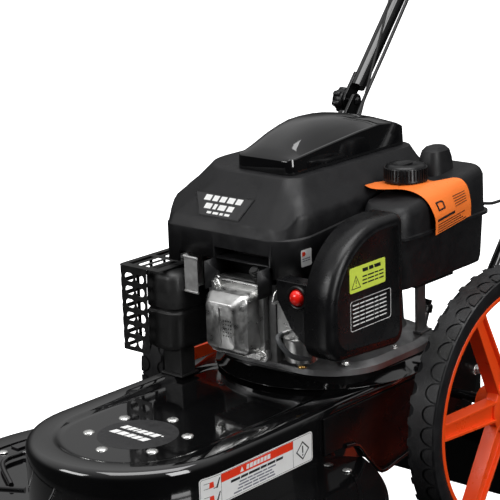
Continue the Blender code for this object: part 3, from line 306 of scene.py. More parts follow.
def pipe(path, radius, resolution=3):
    """A round bar or wire along a path."""
    curve = bpy.data.curves.new("route", "CURVE")
    curve.dimensions = "3D"
    curve.bevel_depth = radius
    curve.bevel_resolution = resolution
    curve.use_fill_caps = True
    spline = curve.splines.new("POLY")
    spline.points.add(len(path) - 1)
    for point, place in zip(spline.points, path):
        point.co = (*place, 1)
    guide = placed("guide", curve)
    mesh = worked_out(guide)
    bpy.data.objects.remove(guide, do_unlink=True)
    bm = bmesh.new()
    bm.from_mesh(mesh)
    bmesh.ops.remove_doubles(bm, verts=bm.verts, dist=1e-05)
    return bm


def at_side(point, x):
    """A point moved to another distance across."""
    return Vector((x, point.y, point.z))


sheath = surface("cable_sheath", (0.012, 0.012, 0.013), 0.42, grain=0.2, grain_size=1200,
    slot="rubber")
zinc = surface("zinc_plate", (0.62, 0.62, 0.6), 0.24, metal=1, mottle=0.18, patch=60, grain=0.25,
    grain_size=900, slot="zinc_steel")
braid = surface("braided_rope", (0.01, 0.01, 0.01), 0.6, grain=1, grain_size=1900, slot="rubber")

clutch_route = mm((-112, 612, 222), (-122, 640, 240), (-160, 655, 330), (-172, 668, 475),
    (-172, 722, 560), (-174, 800, 651), (-176.5, 900, 768), (-176.5, 990, 873))
throttle_route = mm((160, 580, 471), (166, 610, 468), (172, 650, 480), (172, 724, 556),
    (174, 800, 645), (176.5, 880, 739), (176.5, 946, 816))
piece("clutch_cable_sheath", pipe(smooth_line(clutch_route, 0.008), 0.003), sheath, "clutch_cable",
    blend=("machine", "handle", (-0.172, 0.655, 0.43), (-0.174, 0.8, 0.65)))
piece("throttle_cable_sheath", pipe(smooth_line(throttle_route, 0.008), 0.0024), sheath,
    "throttle_cable", blend=("machine", "handle", (0.17, 0.63, 0.47), (0.174, 0.8, 0.645)))
for name, points in (("clutch", clutch_route), ("throttle", throttle_route)):
    last, before = Vector(points[-1]), Vector(points[-2])
    piece(name + "_cable_ferrule", pipe([last, last + (last - before).normalized() * 0.014],
        0.004), zinc, body="handle")

rope_start = Vector((-0.02, 0.5206, 0.591))
eye = at_side(FOLD + ALONG * 0.3 + ABOVE * 0.046, -ARM_X - 0.004)
rope_line = (eye - rope_start).normalized()
rope_foot = rope_start + rope_line * 0.004
rope_sag = (rope_foot + eye) / 2 + Vector((0, 0, -0.004))
piece("starter_rope_line", pipe(smooth_line([rope_foot, rope_sag, eye], 0.01), 0.002), braid,
    "starter_rope", blend=("machine", "handle", rope_foot, eye))
rope_tail = [eye + ALONG * (0.0005 * step) for step in range(14)]
piece("starter_rope_tail", pipe(rope_tail, 0.002), braid, body="handle",
    blend=("handle", "starter", rope_tail[0], rope_tail[-1]))


# ------------------------------------------------------------------ belt cover
# A deep drawn steel cover over the belt, in thick gloss black paint: a rounded nose, a rolled top
# edge and a sunken panel. Six zinc carriage bolts hold the spindle housing to its panel.
def arc(centre, radius, start, end, steps):
    """Points round a centre, between two angles in degrees."""
    points = []
    for step in range(steps + 1):
        angle = math.radians(start + (end - start) * step / steps)
        points.append((centre[0] + radius * math.cos(angle), centre[1] + radius * math.sin(angle)))
    return points


def skin(rings, floor=True):
    """Bridge closed loops of points from first to last, with flat ends."""
    bm = bmesh.new()
    loops = []
    rows = []
    for ring in rings:
        verts = [bm.verts.new(point) for point in ring]
        rows.append(verts)
        loops.append([bm.edges.new(pair) for pair in zip(verts, verts[1:] + verts[:1])])
    for low, high in zip(loops, loops[1:]):
        bmesh.ops.bridge_loops(bm, edges=low + high)
    if floor:
        bm.faces.new(rows[0])
    bm.faces.new(rows[-1])
    return bm


def lathe(profile, centre=(0, 0, 0), axis="Z", steps=64, ring=False):
    """Spin (radius, height) points about an axis."""
    bm = bmesh.new()
    verts = [bm.verts.new((radius, 0, height)) for radius, height in profile]
    joins = list(zip(verts, verts[1:]))
    if ring:
        joins.append((verts[-1], verts[0]))
    edges = [bm.edges.new(pair) for pair in joins]
    bmesh.ops.spin(bm, geom=verts + edges, cent=(0, 0, 0), axis=(0, 0, 1), angle=math.tau,
        steps=steps, use_merge=True)
    bmesh.ops.remove_doubles(bm, verts=bm.verts, dist=TOUCH)
    bmesh.ops.recalc_face_normals(bm, faces=bm.faces)
    turn = {"Z": Matrix.Identity(3), "X": Matrix.Rotation(math.radians(90), 3, "Y"),
        "Y": Matrix.Rotation(math.radians(-90), 3, "X")}[axis]
    return put(turned(bm, turn), centre)


def gather(*parts):
    """One bmesh of several."""
    whole = bmesh.new()
    for part in parts:
        mesh = as_mesh("part", part)
        whole.from_mesh(mesh)
        bpy.data.meshes.remove(mesh)
    return whole


def cover_ring(radius, rear, z, corner=0.01):
    """The cover's outline: a round nose, straight sides and round rear corners."""
    points = arc((0, 0), radius, 180, 360, 56)
    points += [(radius, 0.12), (radius, rear - 0.12)]
    points += arc((radius - corner, rear - corner), corner, 0, 90, 5)
    points += arc((corner - radius, rear - corner), corner, 90, 180, 5)
    points += [(-radius, rear - 0.12), (-radius, 0.12)]
    return [Vector((x, y, z)) for x, y in points]


gloss = surface("gloss_black", (0.0035, 0.0035, 0.0038), 0.07, mottle=0.25, patch=9, grain=0.03,
    grain_size=420, coat=1, vary=0.5, dust=0.05, slot="gloss_black_paint")
cover_r, cover_rear, rim_z, edge_r = 0.15, 0.6, 0.255, 0.012
rings = [cover_ring(0.0965, 0.2665, 0.248, 0.03), cover_ring(0.106, 0.2745, 0.249, 0.03),
    cover_ring(0.117, 0.285, 0.2525, 0.03), cover_ring(0.138, 0.588, 0.2525),
    cover_ring(0.145, 0.595, 0.249), cover_ring(0.1475, 0.5975, 0.243),
    cover_ring(0.1475, 0.5975, 0.1603), cover_ring(cover_r, cover_rear, 0.1603),
    cover_ring(cover_r, cover_rear, 0.202)]
for angle in (0, 18, 36, 54, 72, 90):
    inset = edge_r * (1 - math.cos(math.radians(angle)))
    lift_z = edge_r * math.sin(math.radians(angle))
    rings.append(cover_ring(cover_r - inset, cover_rear - inset, rim_z - edge_r + lift_z))
for radius, rear, z in mm((115.5, 283.5, 255), (112.5, 281, 254.6), (109, 277.5, 253),
        (105.5, 274, 251.3), (102.5, 271.5, 250.6), (99, 269, 250.5)):
    rings.append(cover_ring(radius, rear, z, 0.03))
piece("belt_cover", skin(rings), gloss, "deck_pan", sharp=50)

bolt_profile = mm((0, 2.6), (3, 2.5), (5.5, 2.1), (7.4, 1.2), (8.1, 0.3), (8.1, 0), (0, 0))
bolt_heads = []
for number in range(6):
    angle = math.radians(90 + 60 * number)
    place = (0.0679 * math.cos(angle), 0.0679 * math.sin(angle), 0.2505)
    bolt_heads.append(lathe(bolt_profile, place, "Z", 28))
bright_zinc = surface("bright_zinc", (0.84, 0.84, 0.82), 0.28, metal=0.85, mottle=0.12, patch=120,
    grain=0.15, grain_size=700, slot="zinc_steel")
piece("carriage_bolts", gather(*bolt_heads), bright_zinc, sharp=60)

# ------------------------------------------------------------------ labels
# Thin printed films, stuck on flat and curved walls. Each is a base sheet with a raised layer of
# plain bars and simple marks; none of them says anything.
FILM = 0.00012
LABEL_PRINT = 0.00014
PANEL_Z = 0.2505


def rounded(low, high, radius, steps=5):
    """A rectangle with round corners."""
    points = arc((high[0] - radius, high[1] - radius), radius, 0, 90, steps)
    points += arc((low[0] + radius, high[1] - radius), radius, 90, 180, steps)
    points += arc((low[0] + radius, low[1] + radius), radius, 180, 270, steps)
    points += arc((high[0] - radius, low[1] + radius), radius, 270, 360, steps)
    return points


def raised(bm, points, by):
    """Make a face of points and raise it by a vector. Returns its raised corners and face."""
    face = bm.faces.new([bm.verts.new(point) for point in points])
    made = bmesh.ops.extrude_face_region(bm, geom=[face])["geom"]
    corners = [item for item in made if isinstance(item, bmesh.types.BMVert)]
    bmesh.ops.translate(bm, vec=by, verts=corners)
    return corners, [item for item in made if isinstance(item, bmesh.types.BMFace)]


def film(name, shapes, place, material, lift, slice_at=()):
    """Flat shapes of (u, v) points, laid on a surface by place(u, v, height)."""
    bm = bmesh.new()
    for shape in shapes:
        raised(bm, [(u, v, lift) for u, v in shape], (0, 0, FILM))
    for u in slice_at:
        bmesh.ops.bisect_plane(bm, geom=bm.verts[:] + bm.edges[:] + bm.faces[:],
            plane_co=(u, 0, 0), plane_no=(1, 0, 0), dist=1e-05)
    for vert in bm.verts:
        vert.co = place(*vert.co)
    return piece(name, bm, material, slot="", sharp=25)


def bar(u, v, length, height, lean=0):
    """A bar that leans like italic print."""
    return [(u, v), (u + length, v), (u + length + lean * height, v + height),
        (u + lean * height, v + height)]


def words(u, v, lengths, height, gap, lean=0):
    """A row of bars with gaps between them."""
    row = []
    for length in lengths:
        row.append(bar(u, v, length, height, lean))
        u += length + gap
    return row


def outline(points, inner):
    """A closed line as quads between two loops."""
    quads = []
    for i in range(len(points)):
        j = (i + 1) % len(points)
        quads.append([points[i], points[j], inner[j], inner[i]])
    return quads


white_print = surface("white_print", (0.88, 0.88, 0.87), 0.38, mottle=0.04, patch=40)
black_print = surface("black_print", (0.012, 0.012, 0.014), 0.4, mottle=0.2, patch=60)
red_print = surface("red_print", (0.86, 0.045, 0.012), 0.36, mottle=0.05, patch=40)
grey_print = surface("grey_print", (0.17, 0.17, 0.22), 0.45, mottle=0.1, patch=90)


def on_panel(u, v, height):
    """A point of the sunken panel."""
    return Vector((u, v, PANEL_Z + height))


disc_film = surface("disc_film", (0.02, 0.02, 0.021), 0.5, mottle=0.1, patch=40, grain=0.15,
    grain_size=1500)
film("panel_disc", [arc((0, 0), 0.055, 0, 354, 59)], on_panel, disc_film, 0)
film("panel_marks", words(-0.0385, 0.0045, (0.0095, 0.0085, 0.004, 0.0095, 0.009, 0.01), 0.0115,
    0.0027, 0.3) + words(-0.04, -0.015, (0.011, 0.0125, 0.0095, 0.0095, 0.011), 0.0115, 0.0027,
    0.3) + [arc((0.0322, 0.0135), 0.0017, 0, 330, 11)], on_panel, white_print, FILM)


def on_left_wall(s, z, height):
    """Distance along the cover's left wall, round its nose for a negative s."""
    out = cover_r + height
    if s >= 0:
        return Vector((out, s, z))
    return Vector((out * math.cos(s / cover_r), out * math.sin(s / cover_r), z))


bends = [-0.006 * step for step in range(6, -1, -1)]
label_low, label_high = (-0.04, 0.1905), (0.183, 0.233)
film("side_label", [rounded(label_low, label_high, 0.005)], on_left_wall, white_print, 0,
    slice_at=bends)
edge_out = rounded((-0.0385, 0.192), (0.1815, 0.2315), 0.004)
edge_in = rounded((-0.038, 0.1925), (0.181, 0.231), 0.0036)
lines = outline(edge_out, edge_in)
lines += [bar(-0.0035, 0.1925, 0.0005, 0.0385), bar(0.1415, 0.1925, 0.0005, 0.0385)]
lines += [bar(-0.033, 0.2243, 0.009, 0.0006), bar(-0.033, 0.2172, 0.009, 0.0006),
    bar(-0.033, 0.2055, 0.009, 0.0006), bar(-0.033, 0.1985, 0.009, 0.0006)]
for low in (0.2145, 0.1955):
    lines.append([(-0.013, low + 0.0005), (-0.01, low), (-0.0045, low + 0.013),
        (-0.0065, low + 0.013)])
    lines.append(bar(-0.017, low + 0.0005, 0.006, 0.001))
badge = mm((162, 197.5), (176, 211), (162, 224.5), (148, 211))
core = mm((162, 200), (173.4, 211), (162, 222), (150.6, 211))
lines += outline(badge, core) + [bar(0.1608, 0.2075, 0.0024, 0.01),
    bar(0.1608, 0.2035, 0.0024, 0.0024)]
film("side_label_lines", lines, on_left_wall, black_print, FILM, slice_at=bends)
film("side_label_red", [bar(-0.003, 0.219, 0.1445, 0.0115), mm((-24.5, 217), (-16, 217),
    (-17, 225), (-23.5, 225)), mm((-24.5, 198), (-16, 198), (-17, 206), (-23.5, 206))],
    on_left_wall, red_print, LABEL_PRINT, slice_at=bends)
film("side_label_white", words(0.046, 0.2215, (0.005, 0.006, 0.006, 0.005, 0.006, 0.005, 0.006),
    0.0062, 0.0015, 0.15) + [mm((34, 221.3), (41, 221.3), (37.5, 228.3))], on_left_wall,
    white_print, 0.00028)
small_rows = words(0.015, 0.2125, (0.018, 0.014, 0.022, 0.012, 0.016, 0.014), 0.0034, 0.0018, 0.2)
film("side_label_title", small_rows, on_left_wall, black_print, 0.00013)
small_rows = []
for number, (start, lengths) in enumerate(((0.032, (0.014, 0.01, 0.018, 0.008, 0.016)),
        (0.03, (0.02, 0.012, 0.016, 0.014)), (0.028, (0.011, 0.016, 0.01, 0.02, 0.009)),
        (0.02, (0.016, 0.018, 0.012, 0.014, 0.016)))):
    small_rows += words(start, 0.2078 - 0.0042 * number, lengths, 0.0019, 0.0018, 0.2)
film("side_label_rows", small_rows, on_left_wall, grey_print, 0.00013)


# ------------------------------------------------------------------ frame plates
# Two deep pressed plates behind the cutting guard carry the axle and the handle. Their lower edge
# is rolled outwards, and a zinc flange bolt clamps each handle tube.
def refined(node):
    """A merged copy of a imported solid, with its flat faces whole again."""
    bm = bmesh.new()
    bm.from_mesh(solids[node].data)
    put(bm, (0, -HEAD_Y, 0))
    bmesh.ops.remove_doubles(bm, verts=bm.verts, dist=1e-05)
    bmesh.ops.dissolve_limit(bm, angle_limit=math.radians(0.6), verts=bm.verts, edges=bm.edges)
    return bm


def hexagon(radius, centre, height, axis="X"):
    """A six-sided bolt head on a round flange."""
    head = lathe([(0, height), (radius * 0.92, height), (radius, height * 0.86), (radius, 0),
        (0, 0)], centre, axis, 6)
    flange = lathe([(0, height * 0.3), (radius * 1.15, height * 0.3), (radius * 1.32, 0.0002),
        (radius * 1.32, 0), (0, 0)], centre, axis, 28)
    return gather(head, flange)


plate_paint = surface("plate_paint", (0.0035, 0.0035, 0.0038), 0.3, mottle=0.25, patch=9,
    grain=0.08, grain_size=420, vary=0.3, dust=0.05, shine=0.35, slot="gloss_black_paint")
hem_path = mm((250, 190), (278, 184), (292, 166), (305, 152), (325, 131), (342, 126), (377, 132),
    (440, 140), (530, 142), (558, 152))
for side, sign in (("left", 1), ("right", -1)):
    piece("frame_plate_" + side, refined("frame_side_" + side), plate_paint, "frame_side_" + side,
        rounding=0.0012)
    hem = smooth_line([(sign * 0.1552, y, z) for y, z in hem_path], 0.01)
    piece("frame_hem_" + side, pipe(hem, 0.003, 3), gloss)
    bolt = hexagon(0.0062, (0.1543, 0.575, 0.212), 0.0055)
    if sign < 0:
        mirrored(bolt)
    piece("frame_bolt_" + side, bolt, bright_zinc, rounding=0.0004)

# ------------------------------------------------------------------ cutting guard
# A wide round steel guard over the string, pressed with a rolled lip, with a rubber skirt hung
# round its back half. Hold-down strips and small zinc screws clamp the skirt; a flap hangs behind.
lip = arc((0.327, 0.154), 0.006, 90, 0, 6)
guard_profile = [(0.034, 0.16), (0.18, 0.16), (0.3, 0.16)] + lip + mm((333, 144), (332.5, 141),
    (331.2, 140), (330.5, 141), (330, 150), (327, 157.5), (180, 157.5), (34, 157.5))
piece("cutting_guard", lathe(guard_profile, steps=144, ring=True), gloss, "trimmer_guard",
    sharp=50)


def band(radius_in, radius_out, low, high, start, end, steps):
    """A flat curved strip about the head's axis."""
    bm = bmesh.new()
    points = arc((0, 0), radius_out, start, end, steps) + arc((0, 0), radius_in, end, start, steps)
    raised(bm, [(x, y, low) for x, y in points], (0, 0, high - low))
    return bm


strips = [band(0.268, 0.284, 0.1601, 0.163, 4, 30, 14), band(0.268, 0.284, 0.1601, 0.163, 150, 176,
    14), band(0.292, 0.298, 0.1601, 0.1622, -70, 52, 50), band(0.292, 0.298, 0.1601, 0.1622, 128,
    250, 50)]
piece("guard_strips", gather(*strips), gloss, rounding=0.001)
ribs = []
for angle in (-62, -28, 208, 242):
    out = Vector((math.cos(math.radians(angle)), math.sin(math.radians(angle)), 0))
    ribs.append(pipe([out * 0.165 + Vector((0, 0, 0.1605)), out * 0.285 + Vector((0, 0, 0.1605))],
        0.004, 4))
piece("guard_ribs", gather(*ribs), gloss)
bracket_rod = smooth_line(mm((-212, 24, 166), (-236, 9, 166), (-241, 0, 166), (-235, -38, 166),
    (-166, -84, 165)), 0.004)
piece("guard_rod", pipe(bracket_rod, 0.0038, 4), gloss)
screws = []
for x, y in mm((-276, -1), (-262, 60), (140, 248), (166, 238), (250, 118), (276, 20), (-140, 240)):
    screws.append(lathe([(r * 0.85, h * 0.8) for r, h in bolt_profile], (x, y, 0.1612), "Z", 24))
piece("guard_screws", gather(*screws), bright_zinc, sharp=60)

skirt_rubber = surface("skirt_rubber", (0.01, 0.01, 0.01), 0.62, mottle=0.2, patch=14, grain=0.35,
    grain_size=900, dust=0.15, slot="rubber")
piece("skirt", refined("guard_skirt"), skirt_rubber, "guard_skirt", rounding=0.0008)
piece("back_flap", refined("rear_flap"), gloss, "rear_flap", rounding=0.0008)

# ------------------------------------------------------------------ wheels
# Moulded orange wheels with six channelled spokes turn on a black through axle. The solid rubber
# tyres have crescent lugs along the outer edge and round pockets along the inner one.
WHEEL_X, WHEEL_Y, WHEEL_R = 0.25365, 0.4896, 0.203
orange = surface("orange_plastic", (1, 0.085, 0.01), 0.34, mottle=0.03, patch=18, grain=0.1,
    grain_size=1500, slot="orange_plastic")
tyre_rubber = surface("tyre_rubber", (0.015, 0.015, 0.016), 0.42, mottle=0.35, patch=30,
    grain=0.45, grain_size=750, dust=0.45, slot="tyre")
wall_rubber = surface("tyre_wall", (0.01, 0.01, 0.011), 0.45, mottle=0.2, patch=30, grain=0.2,
    grain_size=900, dust=0.1, slot="tyre")


def spoke(number, sign):
    """A tapered spoke with a channel pressed into its outer face."""
    angle = math.radians(57 + 60 * number)
    out = Vector((0, math.cos(angle), math.sin(angle)))
    across = Vector((0, -out.z, out.y))
    root, tip = 0.016, 0.1705
    corners = [out * root + across * 0.016, out * root - across * 0.016,
        out * tip - across * 0.0125, out * tip + across * 0.0125]
    bm = bmesh.new()
    moved, top = raised(bm, [at_side(point, -0.005) for point in corners], (0.022, 0, 0))
    for vert in moved:
        vert.co.y *= 0.985
        vert.co.z *= 0.985
    bmesh.ops.inset_individual(bm, faces=top, thickness=0.0052, depth=0)
    bmesh.ops.inset_individual(bm, faces=top, thickness=0.0012, depth=-0.006)
    put(bm, (WHEEL_X, WHEEL_Y, WHEEL_R))
    if sign < 0:
        mirrored(bm)
        bmesh.ops.reverse_faces(bm, faces=bm.faces)
    return bm


def tread(sign):
    """One pitch of the raised tread, spun round the wheel: a band and its crescent lug."""
    pitches, top = 42, 0.2027
    half = math.pi / pitches
    bm = bmesh.new()

    def lay(edges):
        """Quads between two side edges, over angles across one pitch."""
        rows = []
        for angle, inner, outer in edges:
            spot = (math.sin(angle) * top, math.cos(angle) * top)
            rows.append((bm.verts.new((inner, *spot)), bm.verts.new((outer, *spot))))
        for first, last in zip(rows, rows[1:]):
            bm.faces.new((first[0], first[1], last[1], last[0]))
    steps = 18
    band_edges, lug_edges = [], []
    for step in range(steps + 1):
        angle = half * (2 * step / steps - 1)
        u = angle * top
        bite = max(0, 0.0092 ** 2 - u ** 2) ** 0.5 * 0.85
        share = max(0, 1 - (u / 0.0146) ** 2)
        band_edges.append((angle, -0.0208 + bite, 0.0204 - 0.0196 * share ** 0.5))
    for step in range(13):
        u = 0.0123 * math.sin(math.radians(90 * (step / 6 - 1)))
        share = max(0, 1 - (u / 0.01235) ** 2)
        lug_edges.append((u / top, 0.0206 - 0.016 * share ** 0.5, 0.0208))
    lay(band_edges)
    lay(lug_edges)
    bmesh.ops.solidify(bm, geom=bm.faces[:], thickness=0.003)
    bmesh.ops.spin(bm, geom=bm.verts[:] + bm.edges[:] + bm.faces[:], cent=(0, 0, 0),
        axis=(1, 0, 0), angle=math.tau * (pitches - 1) / pitches, steps=pitches - 1,
        use_duplicate=True)
    put(bm, (WHEEL_X, WHEEL_Y, WHEEL_R))
    if sign < 0:
        mirrored(bm)
    return bm


for side, sign in (("left", 1), ("right", -1)):
    body = f'wheel_{side}_body'
    hub_centre = (sign * WHEEL_X, WHEEL_Y, WHEEL_R)
    rim = mm((174.8, 17.6), (174.8, -17.6), (170, -18.3), (166, -15), (164.8, -4), (164.8, 4),
        (166, 15), (170, 18.3))
    rim_bm = lathe(rim, hub_centre, "X", 112, ring=True)
    lip_bm = lathe(mm((176.2, 20), (176.6, 19), (174.8, 17.2), (170, 17.2), (170, 20),
        (172.2, 20.8)), hub_centre, "X", 112, ring=True)
    if sign < 0:
        bmesh.ops.scale(lip_bm, vec=(-1, 1, 1), space=Matrix.Translation((WHEEL_X, 0, 0)),
            verts=lip_bm.verts)
        bmesh.ops.reverse_faces(lip_bm, faces=lip_bm.faces)
    hub = mm((7.8, 30), (18.5, 30), (22, 27), (22.8, -28), (21.5, -31), (7.8, -31))
    boss = mm((7.8, 17.5), (36, 17.5), (40.5, 15), (40.5, -2), (33, -6), (7.8, -6))
    hub_bm = lathe([(r, h * sign) for r, h in hub], hub_centre, "X", 48, ring=True)
    boss_bm = lathe([(r, h * sign) for r, h in boss], hub_centre, "X", 48, ring=True)
    spokes = [spoke(number, sign) for number in range(6)]
    piece("spoked_wheel_" + side, gather(rim_bm, lip_bm, hub_bm, boss_bm, *spokes), orange,
        "wheel_" + side, body=body, rounding=0.0011, sharp=42)
    carcass = mm((175.2, 19), (183, 22.1), (193, 22.6), (198.5, 21.9), (200, 20), (200.3, 0))
    profile = carcass + [(radius, -height) for radius, height in reversed(carcass[:-1])]
    piece("tyre_carcass_" + side, lathe(profile, hub_centre, "X", 128, ring=True), wall_rubber,
        "tyre_" + side, body=body)
    piece("tyre_tread_" + side, tread(sign), tyre_rubber, body=body, sharp=30)
    cap = lathe(mm((0, 6), (7, 5.6), (10.5, 3), (11, 0), (0, 0)), (0.2775, WHEEL_Y, WHEEL_R), "X",
        32)
    if sign < 0:
        mirrored(cap)
    piece("axle_cap_" + side, cap, gloss, sharp=60)
piece("axle", pipe([(-0.2835, WHEEL_Y, WHEEL_R), (0.2835, WHEEL_Y, WHEEL_R)], 0.0075, 6), gloss,
    "axle_rod")

# ------------------------------------------------------------------ cutting head
# A moulded spool turns on the spindle under the guard with two orange nylon lines. The smooth ball
# below it rolls on the ground and sets the cutting height.
matte = surface("matte_black_plastic", (0.0075, 0.0075, 0.0084), 0.46, mottle=0.1, patch=22,
    grain=0.3, grain_size=1700, shine=0.38, slot="matte_black_plastic")
satin = surface("satin_black_plastic", (0.005, 0.005, 0.0056), 0.3, mottle=0.08, patch=22,
    grain=0.18, grain_size=1600, shine=0.42, slot="matte_black_plastic")
nylon = surface("orange_line", (0.95, 0.16, 0.01), 0.3, mottle=0.08, patch=80, slot="trimmer_line")
head_profile = mm((0, 104), (30, 104), (36, 102.5), (54, 102), (60, 100), (62, 96.5), (62, 86),
    (60.5, 84), (60.5, 76), (62, 74), (62, 64.6), (58, 60.6), (0, 60.6))
piece("spool", lathe(head_profile, steps=72), matte, "line_head", body="head")
ball_profile = mm((0, 60.3), (56, 60.3), (60, 56.3))
ball_profile += [(0.02 + r, 0.034 + z) for r, z in arc((0, 0), 0.04, 0, -90,
    12) if 0.034 + z >= 0] + [(0, 0)]
ball_profile = [(r, max(0, z if z > 0.034 else 0.034 - (0.034 - z) * 0.85)) for r,
    z in ball_profile]
piece("height_ball", lathe(ball_profile, steps=72), satin, "mow_ball", body="ball")
for side, sign in (("left", 1), ("right", -1)):
    piece("nylon_line_" + side, pipe([(sign * 0.0625, 0, 0.08), (sign * 0.17, 0, 0.0797),
        (sign * 0.275, 0, 0.079)], 0.002), nylon, "trimmer_line_" + side, body="head")

# ------------------------------------------------------------------ drive under the cover
# Steel pulleys, a rubber belt and an idler on a swinging arm, all hidden by the cover. They keep
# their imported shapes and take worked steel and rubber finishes.
steel = surface("turned_steel", (0.46, 0.46, 0.47), 0.3, metal=1, mottle=0.15, patch=45, grain=0.2,
    grain_size=800, slot="zinc_steel")
cast = surface("cast_aluminium", (0.66, 0.66, 0.65), 0.34, metal=1, mottle=0.08, patch=40,
    grain=0.3, grain_size=520, slot="cast_aluminium")
dull_cast = surface("dull_cast", (0.13, 0.13, 0.13), 0.55, metal=0.6, mottle=0.3, patch=34,
    grain=0.6, grain_size=480, slot="cast_aluminium")
belt_rubber = surface("belt_rubber", (0.012, 0.012, 0.012), 0.6, mottle=0.3, patch=50, grain=0.5,
    grain_size=900, slot="rubber")
foam = surface("foam", (0.011, 0.011, 0.012), 0.85, mottle=0.15, patch=60, grain=0.8,
    grain_size=1300, slot="foam_grip")
kept = {"drive_pulley": steel, "spindle_pulley": steel, "idler_pulley": steel,
    "idler_arm": bright_zinc, "spindle_shaft": steel, "crankshaft": steel, "spindle_housing": cast,
    "flywheel": cast, "drive_belt": belt_rubber, "recoil_reel": matte, "air_filter_element": foam}
for node, material in kept.items():
    for holder in solids[node].material_slots:
        holder.material = material


# ------------------------------------------------------------------ engine base
# The engine sits in a gloss black pressed dish on the belt cover. Its crankcase is cast aluminium
# with a bright sump flange, held by flange bolts.
def rect_ring(low, high, radii, steps=8):
    """Corners in turn from the far left: back left, back right, front right, front left."""
    if isinstance(radii, float):
        radii = (radii,) * 4
    points = []
    corners = ((high[0], high[1], 0, -1, -1), (low[0], high[1], 90, 1, -1),
        (low[0], low[1], 180, 1, 1), (high[0], low[1], 270, -1, 1))
    for (x, y, start, sx, sy), radius in zip(corners, radii):
        points += arc((x + sx * radius, y + sy * radius), radius, start, start + 90, steps)
    return points


def at_height(points, height, slope=0, foot=0):
    """Lay flat points at a height, or on a slope that starts at y = foot."""
    return [Vector((x, y, height + slope * (y - foot))) for x, y in points]


def stack(steps, *rows, slope=0, foot=0):
    """Rings of a box: each row is two corners, the corner radius and the height, in mm."""
    return [at_height(rect_ring((a, b), (c, d), radius, steps), z, slope, foot) for a, b, c, d,
        radius, z in mm(*rows)]


piece("dish", refined("engine_dish"), gloss, "engine_dish", rounding=0.0015)
case_grey = surface("case_grey", (0.34, 0.34, 0.345), 0.42, metal=0.8, mottle=0.2, patch=34,
    grain=0.5, grain_size=480, slot="cast_aluminium")
case_rings = stack(9, (-142, 268, 142, 532, 90, 272.3), (-142, 268, 142, 532, 90, 281),
    (-139, 271, 139, 529, 87, 284.5), (-134, 276, 134, 524, 84, 289), (-96, 297, 96, 508, 46, 295),
    (-90, 297, 90, 506, 40, 303), (-88, 297, 88, 502, 36, 350), (-88, 297, 88, 502, 36, 399),
    (-82, 306, 82, 496, 32, 405))
piece("crankcase_casting", skin(case_rings), case_grey, "crankcase", sharp=24)
sump_bolts = []
for x, y in mm((118, 300), (-118, 300), (128, 400), (-128, 400), (112, 500), (-112, 500)):
    sump_bolts.append(hexagon(0.0055, (x, y, 0.2885), 0.005, "Z"))
piece("sump_bolts", gather(*sump_bolts), bright_zinc, rounding=0.0003)

# ------------------------------------------------------------------ cylinder and valve cover
# The finned cylinder lies forwards. A cast valve cover with chamfered edges closes its end on a
# lobed flange with four flange bolts.
piece("finned_cylinder", refined("cylinder_block"), dull_cast, "cylinder_block", rounding=0.0008)

BORE_Z = 0.358
valve_bolts = [(x, z) for x in (-0.0406, 0.0406) for z in (0.4042, 0.3122)]


def front_ring(half_x, half_z, corner, y):
    """An upright rectangle with round corners about the cylinder's axis."""
    points = rect_ring((-half_x, BORE_Z - half_z), (half_x, BORE_Z + half_z), corner, 6)
    return [Vector((x, y, z)) for x, z in points]


flange = [front_ring(0.0485, 0.0555, 0.012, 0.2177), front_ring(0.0485, 0.0555, 0.012, 0.2105),
    front_ring(0.047, 0.054, 0.011, 0.209)]
cover = [front_ring(0.0392, 0.0462, 0.01, 0.2092), front_ring(0.0375, 0.0445, 0.01, 0.207),
    front_ring(0.0368, 0.0438, 0.012, 0.188), front_ring(0.036, 0.043, 0.012, 0.1865),
    front_ring(0.0265, 0.0335, 0.009, 0.1715), front_ring(0.025, 0.032, 0.009, 0.1705)]
ridge = [[Vector((x, y, z)) for x, z in mm((1.5, 385), (1.5, 331), (-1.5, 331), (-1.5, 385))]
    for y in (0.171, 0.1693)]
lobes = [lathe(mm((0, 8.2), (10.2, 8.2), (11.4, 7), (11.4, 0), (0, 0)), (x, 0.218, z), "Y",
    32) for x, z in valve_bolts]
for lobe in lobes:
    bmesh.ops.scale(lobe, vec=(1, -1, 1), space=Matrix.Translation((0, -0.218, 0)),
        verts=lobe.verts)
piece("rocker_cover", gather(skin(flange), skin(cover), skin(ridge), *lobes), cast, "valve_cover",
    rounding=0.0006)
cover_bolts = []
for x, z in valve_bolts:
    bolt = turned(hexagon(0.0062, (0, 0, 0), 0.008, "Z"), 90, "X")
    cover_bolts.append(put(bolt, (x, 0.2098, z)))
piece("rocker_bolts", gather(*cover_bolts), bright_zinc, rounding=0.0003)


def on_cover_face(u, v, height):
    """A point of the valve cover's end face."""
    return Vector((u, 0.1704 - height, v))


dots = []
for column in range(4):
    for line in range(5):
        dots.append(arc((0.0065 + 0.0045 * column, 0.345 + 0.0055 * line), 0.0012, 0, 300, 5))
film("rocker_dots", dots, on_cover_face, black_print, 0)
boot_line = [Vector((0.03, 0.224, 0.415)) + Vector((0, -0.55, 0.83)) * (0.004 * step)
    for step in range(7)]
boot_rings = [pipe([boot_line[k], boot_line[k] + Vector((0, -0.0011, 0.0017))], 0.0078,
    5) for k in (1, 3, 5)]
piece("plug_boot", gather(pipe(boot_line, 0.0062, 5), *boot_rings), belt_rubber, "spark_plug")


# ------------------------------------------------------------------ muffler
# A black heat painted box behind a thin pressed guard with slots in its faces, on a leg. A bright
# bent shield keeps its heat from the cylinder; a steel pipe joins them.
def block(low, high):
    """A box between two corners."""
    low, high = Vector(low), Vector(high)
    bm = bmesh.new()
    bmesh.ops.create_cube(bm, size=1)
    bmesh.ops.scale(bm, vec=high - low, verts=bm.verts)
    put(bm, (low + high) / 2)
    return bm


